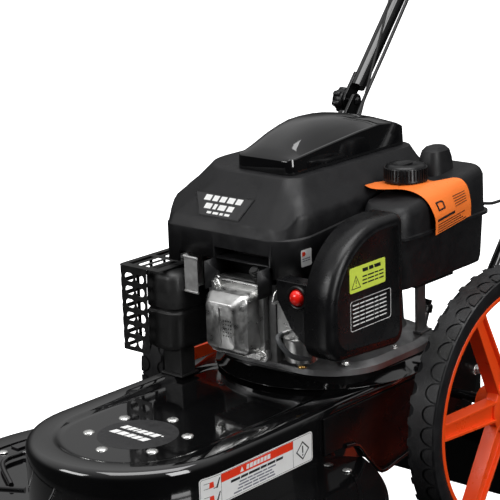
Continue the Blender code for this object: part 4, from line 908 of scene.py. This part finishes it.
def carve(bm, cutter):
    """Cut one bmesh out of another, at once."""
    objects = []
    for name, part in (("work", bm), ("cutter", cutter)):
        bmesh.ops.recalc_face_normals(part, faces=part.faces)
        objects.append(placed(name, as_mesh(name, part)))
    work, knife = objects
    cut = work.modifiers.new("cut", "BOOLEAN")
    cut.operation = "DIFFERENCE"
    cut.solver = "EXACT"
    cut.use_self = True
    cut.object = knife
    result = worked_out(work)
    for obj in objects:
        bpy.data.objects.remove(obj, do_unlink=True)
    done = bmesh.new()
    done.from_mesh(result)
    return done


heat_black = surface("heat_black", (0.012, 0.012, 0.012), 0.45, mottle=0.3, patch=30, grain=0.4,
    grain_size=900, dust=0.1, slot="heat_paint_black")
body_rings = []
for inset, z in mm((12, 292), (5, 293.5), (1, 298), (0, 304), (0, 350), (2.2, 352.5), (2.2, 355.5),
        (0, 358), (0, 400), (2, 407), (7, 411.5), (14, 412.5)):
    body_rings.append(at_height(rect_ring((-0.164 + inset, 0.186 + inset),
        (-0.098 - inset, 0.294 - inset), 0.018, 8), z))
leg = block((-0.136, 0.196, 0.256), (-0.102, 0.226, 0.3))
foot = block((-0.14, 0.192, 0.2552), (-0.098, 0.23, 0.258))
piece("muffler_box", gather(skin(body_rings), leg, foot), heat_black, "muffler_body",
    rounding=0.001)
sheet_path = mm((-142, 172.5), (-189.5, 172.5), (-194.2, 173.9), (-196.4, 176.3), (-197.5, 180.5),
    (-197.5, 300), (-196.3, 300), (-196.3, 181), (-195.5, 177), (-193.5, 174.9), (-189.5, 173.7),
    (-142, 173.7))
sheet = skin([at_height(sheet_path, 0.288), at_height(sheet_path, 0.416)])
holes = []
for row in range(6):
    z = 0.3005 + 0.0198 * row
    for x in (-0.156, -0.177):
        holes.append(pipe([(x - 0.0015, 0.165, z), (x - 0.0015, 0.18, z)], 0.0066, 5))
        holes.append(pipe([(x + 0.003, 0.165, z), (x + 0.003, 0.18, z)], 0.0066, 5))
    for y in (0.197, 0.226, 0.255, 0.283):
        holes.append(block((-0.2, y - 0.0115, z - 0.0068), (-0.194, y + 0.0115, z + 0.0068)))
    holes.append(pipe([(-0.2005, 0.16, z), (-0.2005, 0.186, z)], 0.0078, 5))
piece("muffler_guard_sheet", carve(sheet, gather(*holes)), heat_black, "muffler_guard")
roof = block((-0.195, 0.1735, 0.4148), (-0.118, 0.298, 0.416))
slots = []
for x in (-0.184, -0.168, -0.152, -0.136):
    slots.append(block((x - 0.005, 0.186, 0.41), (x + 0.005, 0.232, 0.42)))
    slots.append(block((x - 0.005, 0.242, 0.41), (x + 0.005, 0.288, 0.42)))
piece("muffler_guard_top", carve(roof, gather(*slots)), heat_black, rounding=0.0003)
pipe_profile = [(0, 0.0355), (0.0135, 0.0355)]
for ridge_x in (0.03, 0.024, 0.018, 0.012, 0.006):
    pipe_profile += [(0.0125, ridge_x + 0.002), (0.0142, ridge_x), (0.0125, ridge_x - 0.002)]
pipe_profile += [(0.0135, 0), (0, 0)]
piece("exhaust_elbow", lathe(pipe_profile, (-0.0978, 0.262, 0.358), "X", 40), steel,
    "exhaust_pipe")
bright = surface("bright_shield", (0.8, 0.8, 0.79), 0.4, metal=0.7, mottle=0.1, patch=60,
    grain=0.25, grain_size=500, slot="zinc_steel")
shield_path = mm((-98.5, 246), (-98.5, 209.5), (-97, 206), (-94, 204.5), (-70, 203.5),
    (-70, 204.6), (-93.5, 205.7), (-96.2, 206.8), (-97.4, 210), (-97.4, 246))
shield = skin([at_height(shield_path, z) for z in (0.384, 0.4365)])
rolls = [pipe([(-0.098, 0.246, z), (-0.098, 0.207, z), (-0.095, 0.205, z), (-0.07, 0.204, z)],
    0.0018, 3) for z in (0.385, 0.436)]
piece("heat_screen", gather(shield, *rolls), bright, "heat_shield")

# ------------------------------------------------------------------ carburettor and linkage
# A die cast body over a round float bowl with a brass drain bolt. Springs, a lever and a grey fuel
# hose run back from it under the blower cover.
carb = block((0.0625, 0.22, 0.342), (0.0995, 0.262, 0.39))
throat = lathe(mm((0, 6), (17, 6), (19, 4), (19, 0), (0, 0)), (0.0945, 0.241, 0.366), "X", 36)
bowl = lathe(mm((0, 342), (25.5, 342), (26.2, 339.5), (25.5, 337.5), (24.8, 318), (22.5, 307),
    (16, 302.5), (0, 302)), (0.0878, 0.241, 0), "Z", 48)
spigot = pipe([(0.08, 0.222, 0.35), (0.08, 0.208, 0.35)], 0.0035, 4)
piece("carburettor_casting", gather(carb, throat, bowl, spigot), cast, "carburettor",
    rounding=0.001)
brass = surface("brass", (0.72, 0.5, 0.2), 0.3, metal=1, mottle=0.15, patch=60, grain=0.2,
    slot="zinc_steel")
drain = gather(hexagon(0.0052, (0.0878, 0.241, 0.2945), 0.0078, "Z"),
    hexagon(0.004, (0.07, 0.228, 0.3895), 0.004, "Z"))
piece("bowl_drain", drain, brass, rounding=0.0003)
hose_rubber = surface("grey_hose", (0.11, 0.115, 0.12), 0.48, mottle=0.12, patch=40, grain=0.2,
    slot="rubber")
hose = smooth_line(mm((80, 208.5, 350), (80, 200, 349), (86, 197.5, 340), (99, 208, 322),
    (108, 240, 316), (112, 290, 340), (116, 340, 395)), 0.004)
piece("fuel_hose", pipe(hose, 0.0038, 4), hose_rubber)
levers = [pipe(smooth_line(mm((70, 226, 397), (78, 210, 402), (90, 205, 400)), 0.003), 0.0012, 2),
    block((0.064, 0.216, 0.3925), (0.092, 0.23, 0.394)), block((0.066, 0.204, 0.3925),
    (0.0725, 0.218, 0.394)), pipe(smooth_line(mm((66, 206, 395), (64, 220, 408), (70, 260, 412),
    (76, 300, 410)), 0.004), 0.0011, 2)]
piece("throttle_linkage", gather(*levers), bright_zinc)
coil = []
for step in range(109):
    angle = math.radians(40 * step)
    coil.append(Vector((0.074 + 0.0034 * math.cos(angle), 0.246 + 0.0004 * step,
        0.4005 + 0.0034 * math.sin(angle))))
piece("governor_spring", pipe(coil, 0.0006, 1), steel)


# ------------------------------------------------------------------ air filter
# A satin black moulded cover, open at the back, with a large curved corner and a raised border on
# its face, over a flat base plate. A red rubber primer bulb sits in the plate.
def filter_ring(inset, x):
    """The cover's outline, drawn in by an inset, at a distance across."""
    front, rear, low, top = 0.172 + inset, 0.338 - inset, 0.33 + inset, 0.513 - inset
    small = max(0.002, 0.014 - inset / 2)
    sweep_y, sweep_z = 0.118 - inset, 0.112 - inset
    points = arc((rear - small, top - small), small, 0, 90, 6)
    points += [(front + sweep_y + y * sweep_y, top - sweep_z + z * sweep_z) for y,
        z in arc((0, 0), 1, 90, 180, 26)]
    points += arc((front + 0.03, low + 0.034), 0.03, 180, 255, 10)
    points += arc((rear - small * 1.5, low + small * 1.5 - 0.004), small * 1.5, 275, 360, 6)
    return [Vector((x, y, z)) for y, z in points]


rings = [filter_ring(inset, x) for inset, x in mm((0, 150.3), (0, 185), (0.8, 188.5), (3, 191.8),
    (6, 194), (9, 195), (12.5, 195), (13.3, 195.8), (14.7, 195.8), (15.5, 195))]
piece("filter_cover", skin(rings, floor=False), satin, "air_filter_cover",
    slot="satin_black_plastic", wall=0.0022, sharp=50)
panel_shape = mm((94.5, 437), (93, 430), (94.5, 408), (116, 372), (150, 343), (150, 437))
panel = skin([[Vector((x, y, z)) for x, z in panel_shape] for y in (0.184, 0.21)])
socket = pipe([(0.13, 0.18, 0.417), (0.13, 0.196, 0.417)], 0.0155, 9)
tray_shape = mm((102, 423), (102, 382), (150, 346), (150, 423))
tray = skin([[Vector((x, y, z)) for x, z in tray_shape] for y in (0.209, 0.338)])
piece("filter_back", gather(carve(panel, socket), tray), satin, "air_filter_base",
    slot="satin_black_plastic", rounding=0.0014)
seat_ring = lathe(mm((12.5, 0), (12.8, 3), (14, 3.8), (15.8, 3.8), (16.8, 2.6), (17, 0)),
    (0, 0, 0), "Z", 48, ring=True)
piece("bulb_ring", put(turned(seat_ring, 90, "X"), (0.13, 0.1842, 0.417)), satin,
    slot="satin_black_plastic")
red_rubber = surface("red_bulb", (0.95, 0.014, 0.008), 0.22, mottle=0.06, patch=80, coat=0.3,
    slot="red_bulb")
BULB_BACK = 0.1892
bulb = lathe(mm((0, 15), (3, 14.7), (6.2, 13.5), (8.8, 11.6), (10.7, 8.8), (11.9, 5.5),
    (12.4, 2.2), (12.4, 0), (0, 0)), (0, 0, 0), "Z", 40)
piece("primer_dome", put(turned(bulb, 90, "X"), (0.13, BULB_BACK, 0.417)), red_rubber,
    "primer_bulb", body="primer", sharp=60)


def on_filter_face(u, v, height):
    """A point of the filter cover's side."""
    return Vector((0.195 + height, u, v))


lime = surface("lime_print", (0.72, 0.86, 0.1), 0.4, mottle=0.05, patch=60)
film("lime_label", [rounded((0.214, 0.425), (0.293, 0.46), 0.003)], on_filter_face, lime, 0)
marks = [*outline(mm((217.5, 430), (238.5, 430), (228, 448.5)), mm((219.5, 431.2), (236.5, 431.2),
    (228, 446.2))), bar(0.2273, 0.4365, 0.0014, 0.006), bar(0.2273, 0.433, 0.0014, 0.0016),
    *words(0.243, 0.45, (0.012, 0.01, 0.014), 0.005, 0.002, -0.2)]
for number in range(3):
    marks += words(0.242, 0.4425 - 0.005 * number, (0.01, 0.014, 0.008, 0.01), 0.002, 0.0016)
film("lime_label_marks", marks, on_filter_face, black_print, FILM)
frame_out, frame_in = (rounded((0.215, 0.372), (0.305, 0.414), 0.004),
    rounded((0.2158, 0.3728), (0.3042, 0.4132), 0.0034))
marks = outline(frame_out, frame_in)
for number in range(6):
    marks += words(0.22, 0.407 - 0.0056 * number, (0.014, 0.01, 0.018, 0.009, 0.016), 0.0016,
        0.002)
film("filter_notes", marks, on_filter_face, white_print, 0)

# ------------------------------------------------------------------ fuel tank
# A blow moulded black tank with a pinch seam, rising to the back, on a folded bracket. Its cap has
# grip ribs; an orange plastic tag hangs on the neck below it. A dipstick stands by the tank.
NECK = (0.1235, 0.44, 0)
tank_rings = stack(7, (112, 357, 172, 554, 22, 390), (108, 351, 180, 560, 25, 394.5),
    (106, 349, 182, 562, 26, 404), (106, 346, 183.5, 565, 26, 462),
    (106, 345.5, 184, 566, 26, 464.5), (106, 345, 188, 572, 26, 465.5),
    (106, 345, 188, 572, 26, 469.5), (106, 345.5, 184.5, 568, 26, 470.5),
    (106, 346, 183.5, 567, 25, 479))
tank_rings += stack(7, (106, 348, 183, 566, 25, 493), (106.5, 352, 180, 563, 23, 500.5),
    (107.5, 356, 176.5, 558, 20, 505), (108, 359, 172, 554, 18, 507), slope=0.145, foot=0.345)
hump_rings = stack(6, (107, 482, 148, 538, 16, 518), (108, 485, 145, 535, 15, 550),
    (110.5, 489, 142, 532, 13, 561), (114, 496, 136, 528, 10, 566))
neck = lathe(mm((17, 500), (21, 500), (21, 529.2), (17, 529.2)), NECK, "Z", 48, ring=True)
piece("tank_shell", gather(skin(tank_rings), skin(hump_rings), neck), matte, "fuel_tank", sharp=34)
piece("tank_cradle", refined("tank_bracket"), matte, "tank_bracket", rounding=0.0006)
strap = gather(block((0.1162, 0.4695, 0.2935), (0.1218, 0.4895, 0.3895)),
    block((0.115, 0.466, 0.292), (0.13, 0.494, 0.295)))
piece("cradle_strap", strap, case_grey, rounding=0.0006)
CAP_FOOT = (0.1235, 0.44, 0.5295)
cap_body = lathe(mm((0, 21.5), (10, 21.5), (12.5, 23.5), (23.5, 24), (27.5, 22.5), (29.8, 19),
    (30.3, 5), (31.3, 3), (31.3, 0), (0, 0)), CAP_FOOT, "Z", 96)
rib = block((0.029, -0.0012, 0.003), (0.0315, 0.0012, 0.0195))
bmesh.ops.spin(rib, geom=rib.verts[:] + rib.edges[:] + rib.faces[:], cent=(0, 0, 0),
    axis=(0, 0, 1), angle=math.tau * 35 / 36, steps=35, use_duplicate=True)
put(rib, CAP_FOOT)
grip_bar = put(block((-0.004, -0.02, 0.0205), (0.004, 0.02, 0.0238)), CAP_FOOT)
piece("tank_cap", gather(cap_body, rib, grip_bar), satin, "fuel_cap", body="cap", rounding=0.0005,
    sharp=45)
tag_rows = [((0.1, 0.437, 0.5262), (0.022, 0.04, 0)), ((0.135, 0.4205, 0.5272),
    (0.022, 0.0425, 0)), ((0.165, 0.442, 0.5285), (0.012, 0.043, 0.002)),
    ((0.185, 0.45, 0.519), (0.004, 0.0435, 0.004)), ((0.1945, 0.455, 0.495), (0, 0.0435, 0.0055)),
    ((0.196, 0.4545, 0.4695), (0, 0.0435, 0.0055))]
tag_centres = smooth_line([row[0] for row in tag_rows], 0.002)
tag_halves = [Vector(row[1]) for row in tag_rows]
tag_marks = [0]
for first, last in zip(tag_rows, tag_rows[1:]):
    tag_marks.append(tag_marks[-1] + max(1, round((Vector(last[0])
        - Vector(first[0])).length / 0.002)))


def tag_at(u, v, height):
    """A point of the tag: u along it in steps, v across it from -1 to 1."""
    step = min(int(u), len(tag_centres) - 2)
    share = u - step
    centre = tag_centres[step].lerp(tag_centres[step + 1], share)
    row = max(index for index, mark in enumerate(tag_marks[:-1]) if mark <= step)
    half = tag_halves[row].lerp(tag_halves[row + 1], (u - tag_marks[row]) / (tag_marks[row + 1]
        - tag_marks[row]))
    ahead = tag_centres[step + 1] - tag_centres[step]
    normal = ahead.cross(half).normalized()
    if normal.dot(Vector((0.5, -0.1, 0.6))) < 0:
        normal = -normal
    return centre + half * v + normal * height


tag = bmesh.new()
bmesh.ops.create_grid(tag, x_segments=len(tag_centres) - 1, y_segments=24, size=1)
bmesh.ops.solidify(tag, geom=tag.faces[:], thickness=0.0005)
for vert in tag.verts:
    level = vert.co.z
    vert.co = tag_at((vert.co.x + 1) / 2 * (len(tag_centres) - 1.001), vert.co.y, level)
opening = [lathe([(0, 0.6), (0.0214, 0.6), (0.0214, 0.45), (0, 0.45)], NECK, "Z", 40)]
for number in range(10):
    slit = block((0.02, -0.0006, 0.51), (0.0335, 0.0006, 0.55))
    opening.append(put(turned(slit, 36 * number, "Z"), NECK))
TAG_PRINT = 8e-05
tag_film = surface("orange_tag", (0.98, 0.215, 0.035), 0.36, mottle=0.05, patch=30,
    slot="orange_plastic")
piece("fuel_tag", carve(tag, gather(*opening)), tag_film, sharp=40)
last = len(tag_centres) - 1.2


def on_tag(u, v, height):
    """Millimetres on the tag: u back from its lower edge, v to its right from its left edge."""
    return tag_at(last - u / 2, -1 + v / 44, 0.0005 + height)


marks = [bar(1.5, 5, 1.2, 70), bar(5, 5, 1.2, 62), bar(8.5, 5, 1.2, 56), bar(12, 5, 1.2, 66),
    bar(17, 5, 3.5, 42)]
for number in range(5):
    marks.append(bar(25 + 3.6 * number, 50, 1, 28))
film("tag_marks", marks, on_tag, black_print, TAG_PRINT, slice_at=[2 * number
    for number in range(1, 26)])
icon = [(30, 12), (42, 12), (42, 24), (40, 28), (30, 28)]
hollow = [(32, 14.5), (40, 14.5), (40, 22), (38.5, 25.5), (32, 25.5)]
film("tag_icon", outline(icon, hollow), on_tag, black_print, TAG_PRINT,
    slice_at=[2 * number for number in range(14, 23)])
lean = Vector((0.05, 0.3, 0.95)).normalized()
dip_foot = Vector((0.108, 0.496, 0.293))
dip_top = dip_foot + lean * 0.022
tube_steps = [dip_foot, dip_foot + lean * 0.008, dip_top - lean * 0.001, dip_top]
piece("dipstick_pipe", pipe(tube_steps, 0.0085, 5), cast, "dipstick_tube")
turn = lean.to_track_quat("Z", "Y").to_matrix()


def leaning(bm, foot):
    """Turn a shape onto the dipstick's lean and set it at a foot."""
    return put(turned(bm, turn), foot)


stick_cap = leaning(lathe(mm((0, 14), (8.5, 14), (11, 12.5), (12, 10), (12, 0.5), (0, 0.3)),
    (0, 0, 0), "Z", 14), dip_top)
stick_wing = leaning(block((-0.01, -0.0022, 0.012), (0.01, 0.0022, 0.02)), dip_top)
stick_blade = leaning(block((-0.0028, -0.0006, -0.0145), (0.0028, 0.0006, 0.004)), dip_top)
piece("dipstick_handle", gather(stick_cap, stick_wing, stick_blade), satin, "dipstick_cap",
    body="dipstick", rounding=0.0007)

# ------------------------------------------------------------------ blower shroud
# A matte black moulded shell over the flywheel: upright walls to a crease, a sloped front with a
# sunken badge, and a flat top. Its front edge has a tab and an arch over the spark plug. Each row
# holds how far a ring is drawn in and its front too, four corner radii, and its front and side
# height.
CREASE_RUN = 0.02


def rise(y, front, side, start):
    """Height of a crease that is lower across the front than along the sides."""
    share = min(1, max(0, (y - start) / CREASE_RUN))
    return front + (side - front) * share * share * (3 - 2 * share)


shell_low, shell_high = (-0.141, 0.213), (0.101, 0.572)
shell_rows = mm((0, 0, 45, 45, 14, 46, 424, 424), (0, 0, 45, 45, 14, 46, 476, 476),
    (0.4, 0.4, 45, 45, 14, 46, 478.5, 478.5), (2.2, 2, 44, 44, 14, 45, 480.5, 480.5),
    (3, 5, 44, 44, 16, 44, 490, 504), (3.8, 6.8, 43, 43, 18, 44, 493.5, 510.5),
    (6, 9.5, 43, 43, 22, 44, 497.5, 515), (17, 23.5, 40, 40, 42, 38, 519.5, 528.5),
    (23.5, 32, 38, 38, 55, 32, 533, 537), (33, 45, 34, 34, 72, 27, 553.5, 553.5),
    (35, 48, 32, 32, 72, 25, 556, 556), (40, 52, 30, 30, 70, 22, 557, 557))
shell_slopes = (0, 0.085, 0.085, 0.085, 0.04, 0.02, 0.014, 0.012, 0.01, 0, 0, 0)
shell = []
for (inset, front_in, *radii, front_z, side_z), slope in zip(shell_rows, shell_slopes):
    right_in = inset * 0.45
    ring = rect_ring((shell_low[0] + right_in, shell_low[1] + front_in),
        (shell_high[0] - inset, shell_high[1] - inset * 0.55), radii, 12)
    extra = []
    for index, (x, y) in enumerate(ring):
        extra.append((x, y))
        nx, ny = ring[(index + 1) % len(ring)]
        if index % 13 == 12:
            extra += [(x + (nx - x) * k / 16, y + (ny - y) * k / 16) for k in range(1, 16)]
    shell.append([Vector((x, y, rise(y, front_z, side_z, 0.214 + front_in) + slope * (y - 0.213)))
        for x, y in extra])
moulding = carve(skin(shell, floor=False), gather(block((-0.112, 0.19, 0.4), (0.062, 0.26, 0.44)),
    block((-0.044, 0.19, 0.4), (0.056, 0.245, 0.456))))
piece("blower_cover", moulding, matte, "blower_shroud", wall=0.0024, sharp=28)
slope_up, slope_out = Vector((0, 0.5334, 0.8459)), Vector((0, -0.8459, 0.5334))

SLOPE_FOOT = Vector((0, 0.2191, 0.4925))
STAND_OFF = 0.0004


def at_slope(u, v, height):
    """Across and up the shroud's sloped front."""
    return Vector((u, 0, 0)) + SLOPE_FOOT + slope_up * v + slope_out * (height + STAND_OFF)


panel_out = mm((-80, 3.5), (-4, 3.5), (12, 39), (-100, 39))
panel_in = mm((-77.5, 5), (-6, 5), (8.8, 37.5), (-97, 37.5))
film("badge_border", outline(panel_out, panel_in), at_slope, satin, 0.0003)
film("badge_plate", [panel_in], at_slope, disc_film, 0)
marks = words(-0.079, 0.027, (0.012, 0.01, 0.0105, 0.012, 0.0105), 0.0085, 0.0035, 0.3)
marks += words(-0.074, 0.015, (0.0125, 0.006, 0.013, 0.011), 0.008, 0.0035, 0.3)
marks += words(-0.066, 0.008, (0.008, 0.01, 0.006, 0.009), 0.0035, 0.003, 0.3)
film("badge_marks", marks, at_slope, white_print, 0.00014)


def on_side_wall(u, v, height):
    """A point of the shroud's left wall."""
    return Vector((0.101 + height, u, v))


film("shroud_sticker", [rounded((0.2285, 0.444), (0.251, 0.468), 0.002)], on_side_wall,
    white_print, 0)
film("shroud_sticker_red", [mm((231, 459), (236, 459), (238.5, 461.5), (236, 465), (231, 465))],
    on_side_wall, red_print, FILM)
film("shroud_sticker_rows", words(0.231, 0.4545, (0.005, 0.006, 0.004), 0.0012,
    0.001) + words(0.231, 0.4515, (0.006, 0.004, 0.005), 0.0012, 0.001), on_side_wall, grey_print,
    FILM)

# ------------------------------------------------------------------ recoil cover
# A raised piano black plastic cap with a chamfered band, fixed on the blower cover. The reel
# that winds the starter rope turns under it; the rope leaves through a hole in its front.
piano = surface("piano_black", (0.004, 0.004, 0.0045), 0.05, mottle=0.2, patch=8, grain=0.02,
    grain_size=400, coat=1, vary=0.4, slot="piano_black_plastic")
recoil_low, recoil_front, recoil_long, recoil_corner = 0.5576, 0.2726, 0.268, 0.011
edge_line = mm((0, 576.5), (4, 579.5), (70, 586.5), (155, 594.5), (205, 597.5), (245, 593),
    (262, 585), (266.5, 578), (268, 570))
crown_line = mm((0, 576.7), (3, 580.5), (12, 589.5), (25, 598.5), (40, 606.5), (60, 614),
    (85, 619), (115, 620.5), (150, 617.5), (190, 610.5), (225, 602), (250, 593), (262, 585.2),
    (266.5, 578.2), (268, 570.2))


def level_at(line, along):
    """Height of a line of (distance, height) points."""
    for (a, low), (b, high) in zip(line, line[1:]):
        if along <= b:
            return low + (high - low) * (along - a) / (b - a)
    return line[-1][1]


sections = []
for along in (0, 0.0006, 0.002, 0.004, 0.007, 0.01, 0.014, 0.02, 0.028, 0.038, 0.05, 0.065, 0.085,
        0.105, 0.13, 0.155, 0.18, 0.205, 0.225, 0.24, 0.25, 0.257, 0.262, 0.2645, 0.2665, 0.2676,
        0.268):
    near = min(along, recoil_long - along, recoil_corner)
    half = 0.0516 - recoil_corner + (recoil_corner ** 2 - (recoil_corner - near) ** 2) ** 0.5
    edge_z, crown_z = level_at(edge_line, along), level_at(crown_line, along)
    top = half - 0.0042
    ring = [(half, recoil_low), (half, recoil_low + 0.004), (half - 0.0012, edge_z - 0.002),
        (half - 0.002, edge_z - 0.0006)]
    for step in range(13):
        share = 1 - step / 6
        ring.append((top * share, edge_z + (crown_z - edge_z) * (1 - abs(share) ** 3.2)))
    ring += [(0.002 - half, edge_z - 0.0006), (0.0012 - half, edge_z - 0.002),
        (-half, recoil_low + 0.004), (-half, recoil_low)]
    sections.append([Vector((x, recoil_front + along, z)) for x, z in ring])
shape = skin(sections)
under = [face for face in shape.faces if max(vert.co.z for vert in face.verts) < recoil_low
    + 0.0001]
bmesh.ops.delete(shape, geom=under, context="FACES")
exit_hole = pipe([rope_start - rope_line * 0.03, rope_start + rope_line * 0.02], 0.005, 5)
piece("recoil_cap", carve(shape, exit_hole), piano, "recoil_cover", wall=0.0024, sharp=24)


# ------------------------------------------------------------------ handle
# A gloss black steel tube loop on two lower tubes, folding on flattened lugs. Knobs clamp the fold
# bolts; foam grips, a wire bail and a throttle lever sit at the top.
def bent(points, radius, steps=10):
    """A path with round bends at its corners."""
    route = [Vector(p) for p in points]
    path = [route[0]]
    for a, b, c in zip(route, route[1:], route[2:]):
        first, last = (a - b).normalized(), (c - b).normalized()
        angle = first.angle(last)
        reach = min(radius / math.tan(angle / 2), (a - b).length * 0.49, (c - b).length * 0.49)
        size = reach * math.tan(angle / 2)
        middle = b + (first + last).normalized() * (size ** 2 + reach ** 2) ** 0.5
        start, end = b + first * reach - middle, b + last * reach - middle
        for step in range(steps + 1):
            path.append(middle + start.lerp(end, step / steps).normalized() * size)
    return path + [route[-1]]


def lug(start, x, thick):
    """Flat tongue about the fold bolt, from a point along the handle."""
    foot = FOLD + ALONG * start
    turn_up = 49.5 + (180 if start > 0 else 0)
    points = arc((FOLD.y, FOLD.z), 0.0128, turn_up - 90, turn_up + 90, 14)
    ends = [foot + ABOVE * 0.0128, foot - ABOVE * 0.0128]
    if start > 0:
        ends.reverse()
    points += [(p.y, p.z) for p in ends]
    return skin([[Vector((x, y, z)) for y, z in points] for x in (x - thick / 2, x + thick / 2)])


fold_low, fold_high = FOLD - ALONG * 0.4, FOLD - ALONG * 0.026
for side, sign in (("left", 1), ("right", -1)):
    path = bent([at_side(fold_low, sign * 0.1671), at_side(fold_low + ALONG * 0.06, sign * 0.1671),
        at_side(fold_low + ALONG * 0.13, sign * ARM_X), at_side(fold_high, sign * ARM_X)], 0.06)
    piece("lower_tube_" + side, gather(pipe(path, TUBE_R, 8), lug(-0.048, sign * 0.1869, 0.005)),
        gloss, "lower_handle_" + side, rounding=0.0006, sharp=50)
path = bent([at_side(FOLD + ALONG * 0.026, ARM_X), at_side(BAR, ARM_X), at_side(BAR, -ARM_X),
    at_side(FOLD + ALONG * 0.026, -ARM_X)], 0.07, 16)
piece("upper_loop", gather(pipe(path, TUBE_R, 8), lug(0.048, 0.2031, 0.005),
    lug(0.048, -0.2031, 0.005)), gloss, "upper_handle", body="handle", rounding=0.0006, sharp=50)
for side, sign in (("left", 1), ("right", -1)):
    face = 0.2059
    knob = lathe(mm((0, 16.5), (8, 16.5), (10, 18), (15, 17.8), (16.5, 16), (17.2, 6), (15, 0),
        (0, 0)), (face, FOLD.y, FOLD.z), "X", 48)
    wings = []
    for number in range(6):
        lobe = lathe(mm((0, 16.5), (4, 16.2), (5.2, 15), (5.2, 4), (4.2, 2.8), (0, 2.8)),
            (face, 0.0155, 0), "X", 20)
        wings.append(put(turned(lobe, 60 * number + 15, "X"), FOLD))
    shank = pipe([(0.178, FOLD.y, FOLD.z), (face + 0.002, FOLD.y, FOLD.z)], 0.004, 4)
    head = lathe(mm((0, 0), (7, 0), (7.5, -0.8), (5.5, -5), (0, -5.2)), (0.1835, FOLD.y, FOLD.z),
        "X", 6)
    whole = gather(knob, *wings, shank, head)
    if sign < 0:
        mirrored(whole)
    piece("clamp_knob_" + side, whole, satin, "handle_knob_" + side, body="knob_" + side, sharp=40)
    centre = at_side(BAR, sign * (ARM_X - 0.07 - 0.06 - 0.002))
    sleeve = mm((12.6, 60), (15, 60), (16.1, 59), (16.5, 57), (16.5, -57), (16.1, -59), (15, -60),
        (12.6, -60))
    piece("foam_grip_" + side, lathe(sleeve, centre, "X", 56, ring=True), foam, "grip_" + side,
        body="handle")
pivot = BAR - ALONG * 0.105
inside = ARM_X - TUBE_R - 0.008
tip = pivot + ALONG * 0.1 + ABOVE * 0.05
path = bent([at_side(pivot, inside + 0.004), at_side(pivot, inside - 0.014),
    at_side(tip, inside - 0.04), at_side(tip, 0.04 - inside), at_side(pivot, 0.014 - inside),
    at_side(pivot, -inside - 0.004)], 0.012)
piece("bail_wire", pipe(path, 0.004, 5), gloss, "clutch_bail", body="bail")
foot = FOLD + ALONG * 0.38
boss_x = ARM_X - TUBE_R - 0.0003 - 0.016
boss = lathe(mm((0, 16), (12, 16), (13, 15), (13, 1.5), (11.5, 0), (0, 0)),
    (boss_x, foot.y, foot.z), "X", 40)
tip = foot + ALONG * 0.03 + ABOVE * 0.04
arm = pipe([at_side(foot, boss_x + 0.006), at_side(foot.lerp(tip, 0.5), boss_x + 0.006),
    at_side(tip, boss_x + 0.006)], 0.0042, 5)
ball = bmesh.new()
bmesh.ops.create_uvsphere(ball, u_segments=28, v_segments=16, radius=0.0066)
put(ball, at_side(tip, boss_x + 0.006))
piece("throttle_arm", gather(boss, arm, ball), satin, "throttle_lever", body="lever")
eye_foot = at_side(FOLD + ALONG * 0.288 + ABOVE * (TUBE_R + 0.0003), -ARM_X)
loop = [eye_foot, eye_foot + ABOVE * 0.012]
for step in range(31):
    angle = math.radians(-90 + 10 * step)
    loop.append(eye + ABOVE * 0.009 * math.sin(angle) + Vector((0.009 * math.cos(angle), 0, 0)))
piece("rope_eye", pipe(loop, 0.0025, 4), gloss, "rope_guide", body="handle", slot="zinc_steel")
base = eye + ALONG * 0.0053
grip_turn = ALONG.to_track_quat("Z", "Y").to_matrix()
stem = lathe(mm((0, 20), (8.5, 20), (10.5, 12), (11, 4), (9, 0), (0, 0)), (0, 0, 0), "Z", 32)
put(turned(stem, grip_turn), base)
handle_profile = mm((0, 40), (6, 39.6), (8.8, 38), (10, 35), (10, 12), (9, 6), (8.8, 0))
handle_profile += [(r, -x) for r, x in reversed(handle_profile[:-1])]
tee = lathe(handle_profile, base + ALONG * 0.022, "X", 32)
piece("pull_grip", gather(stem, tee), satin, "starter_grip", body="starter")
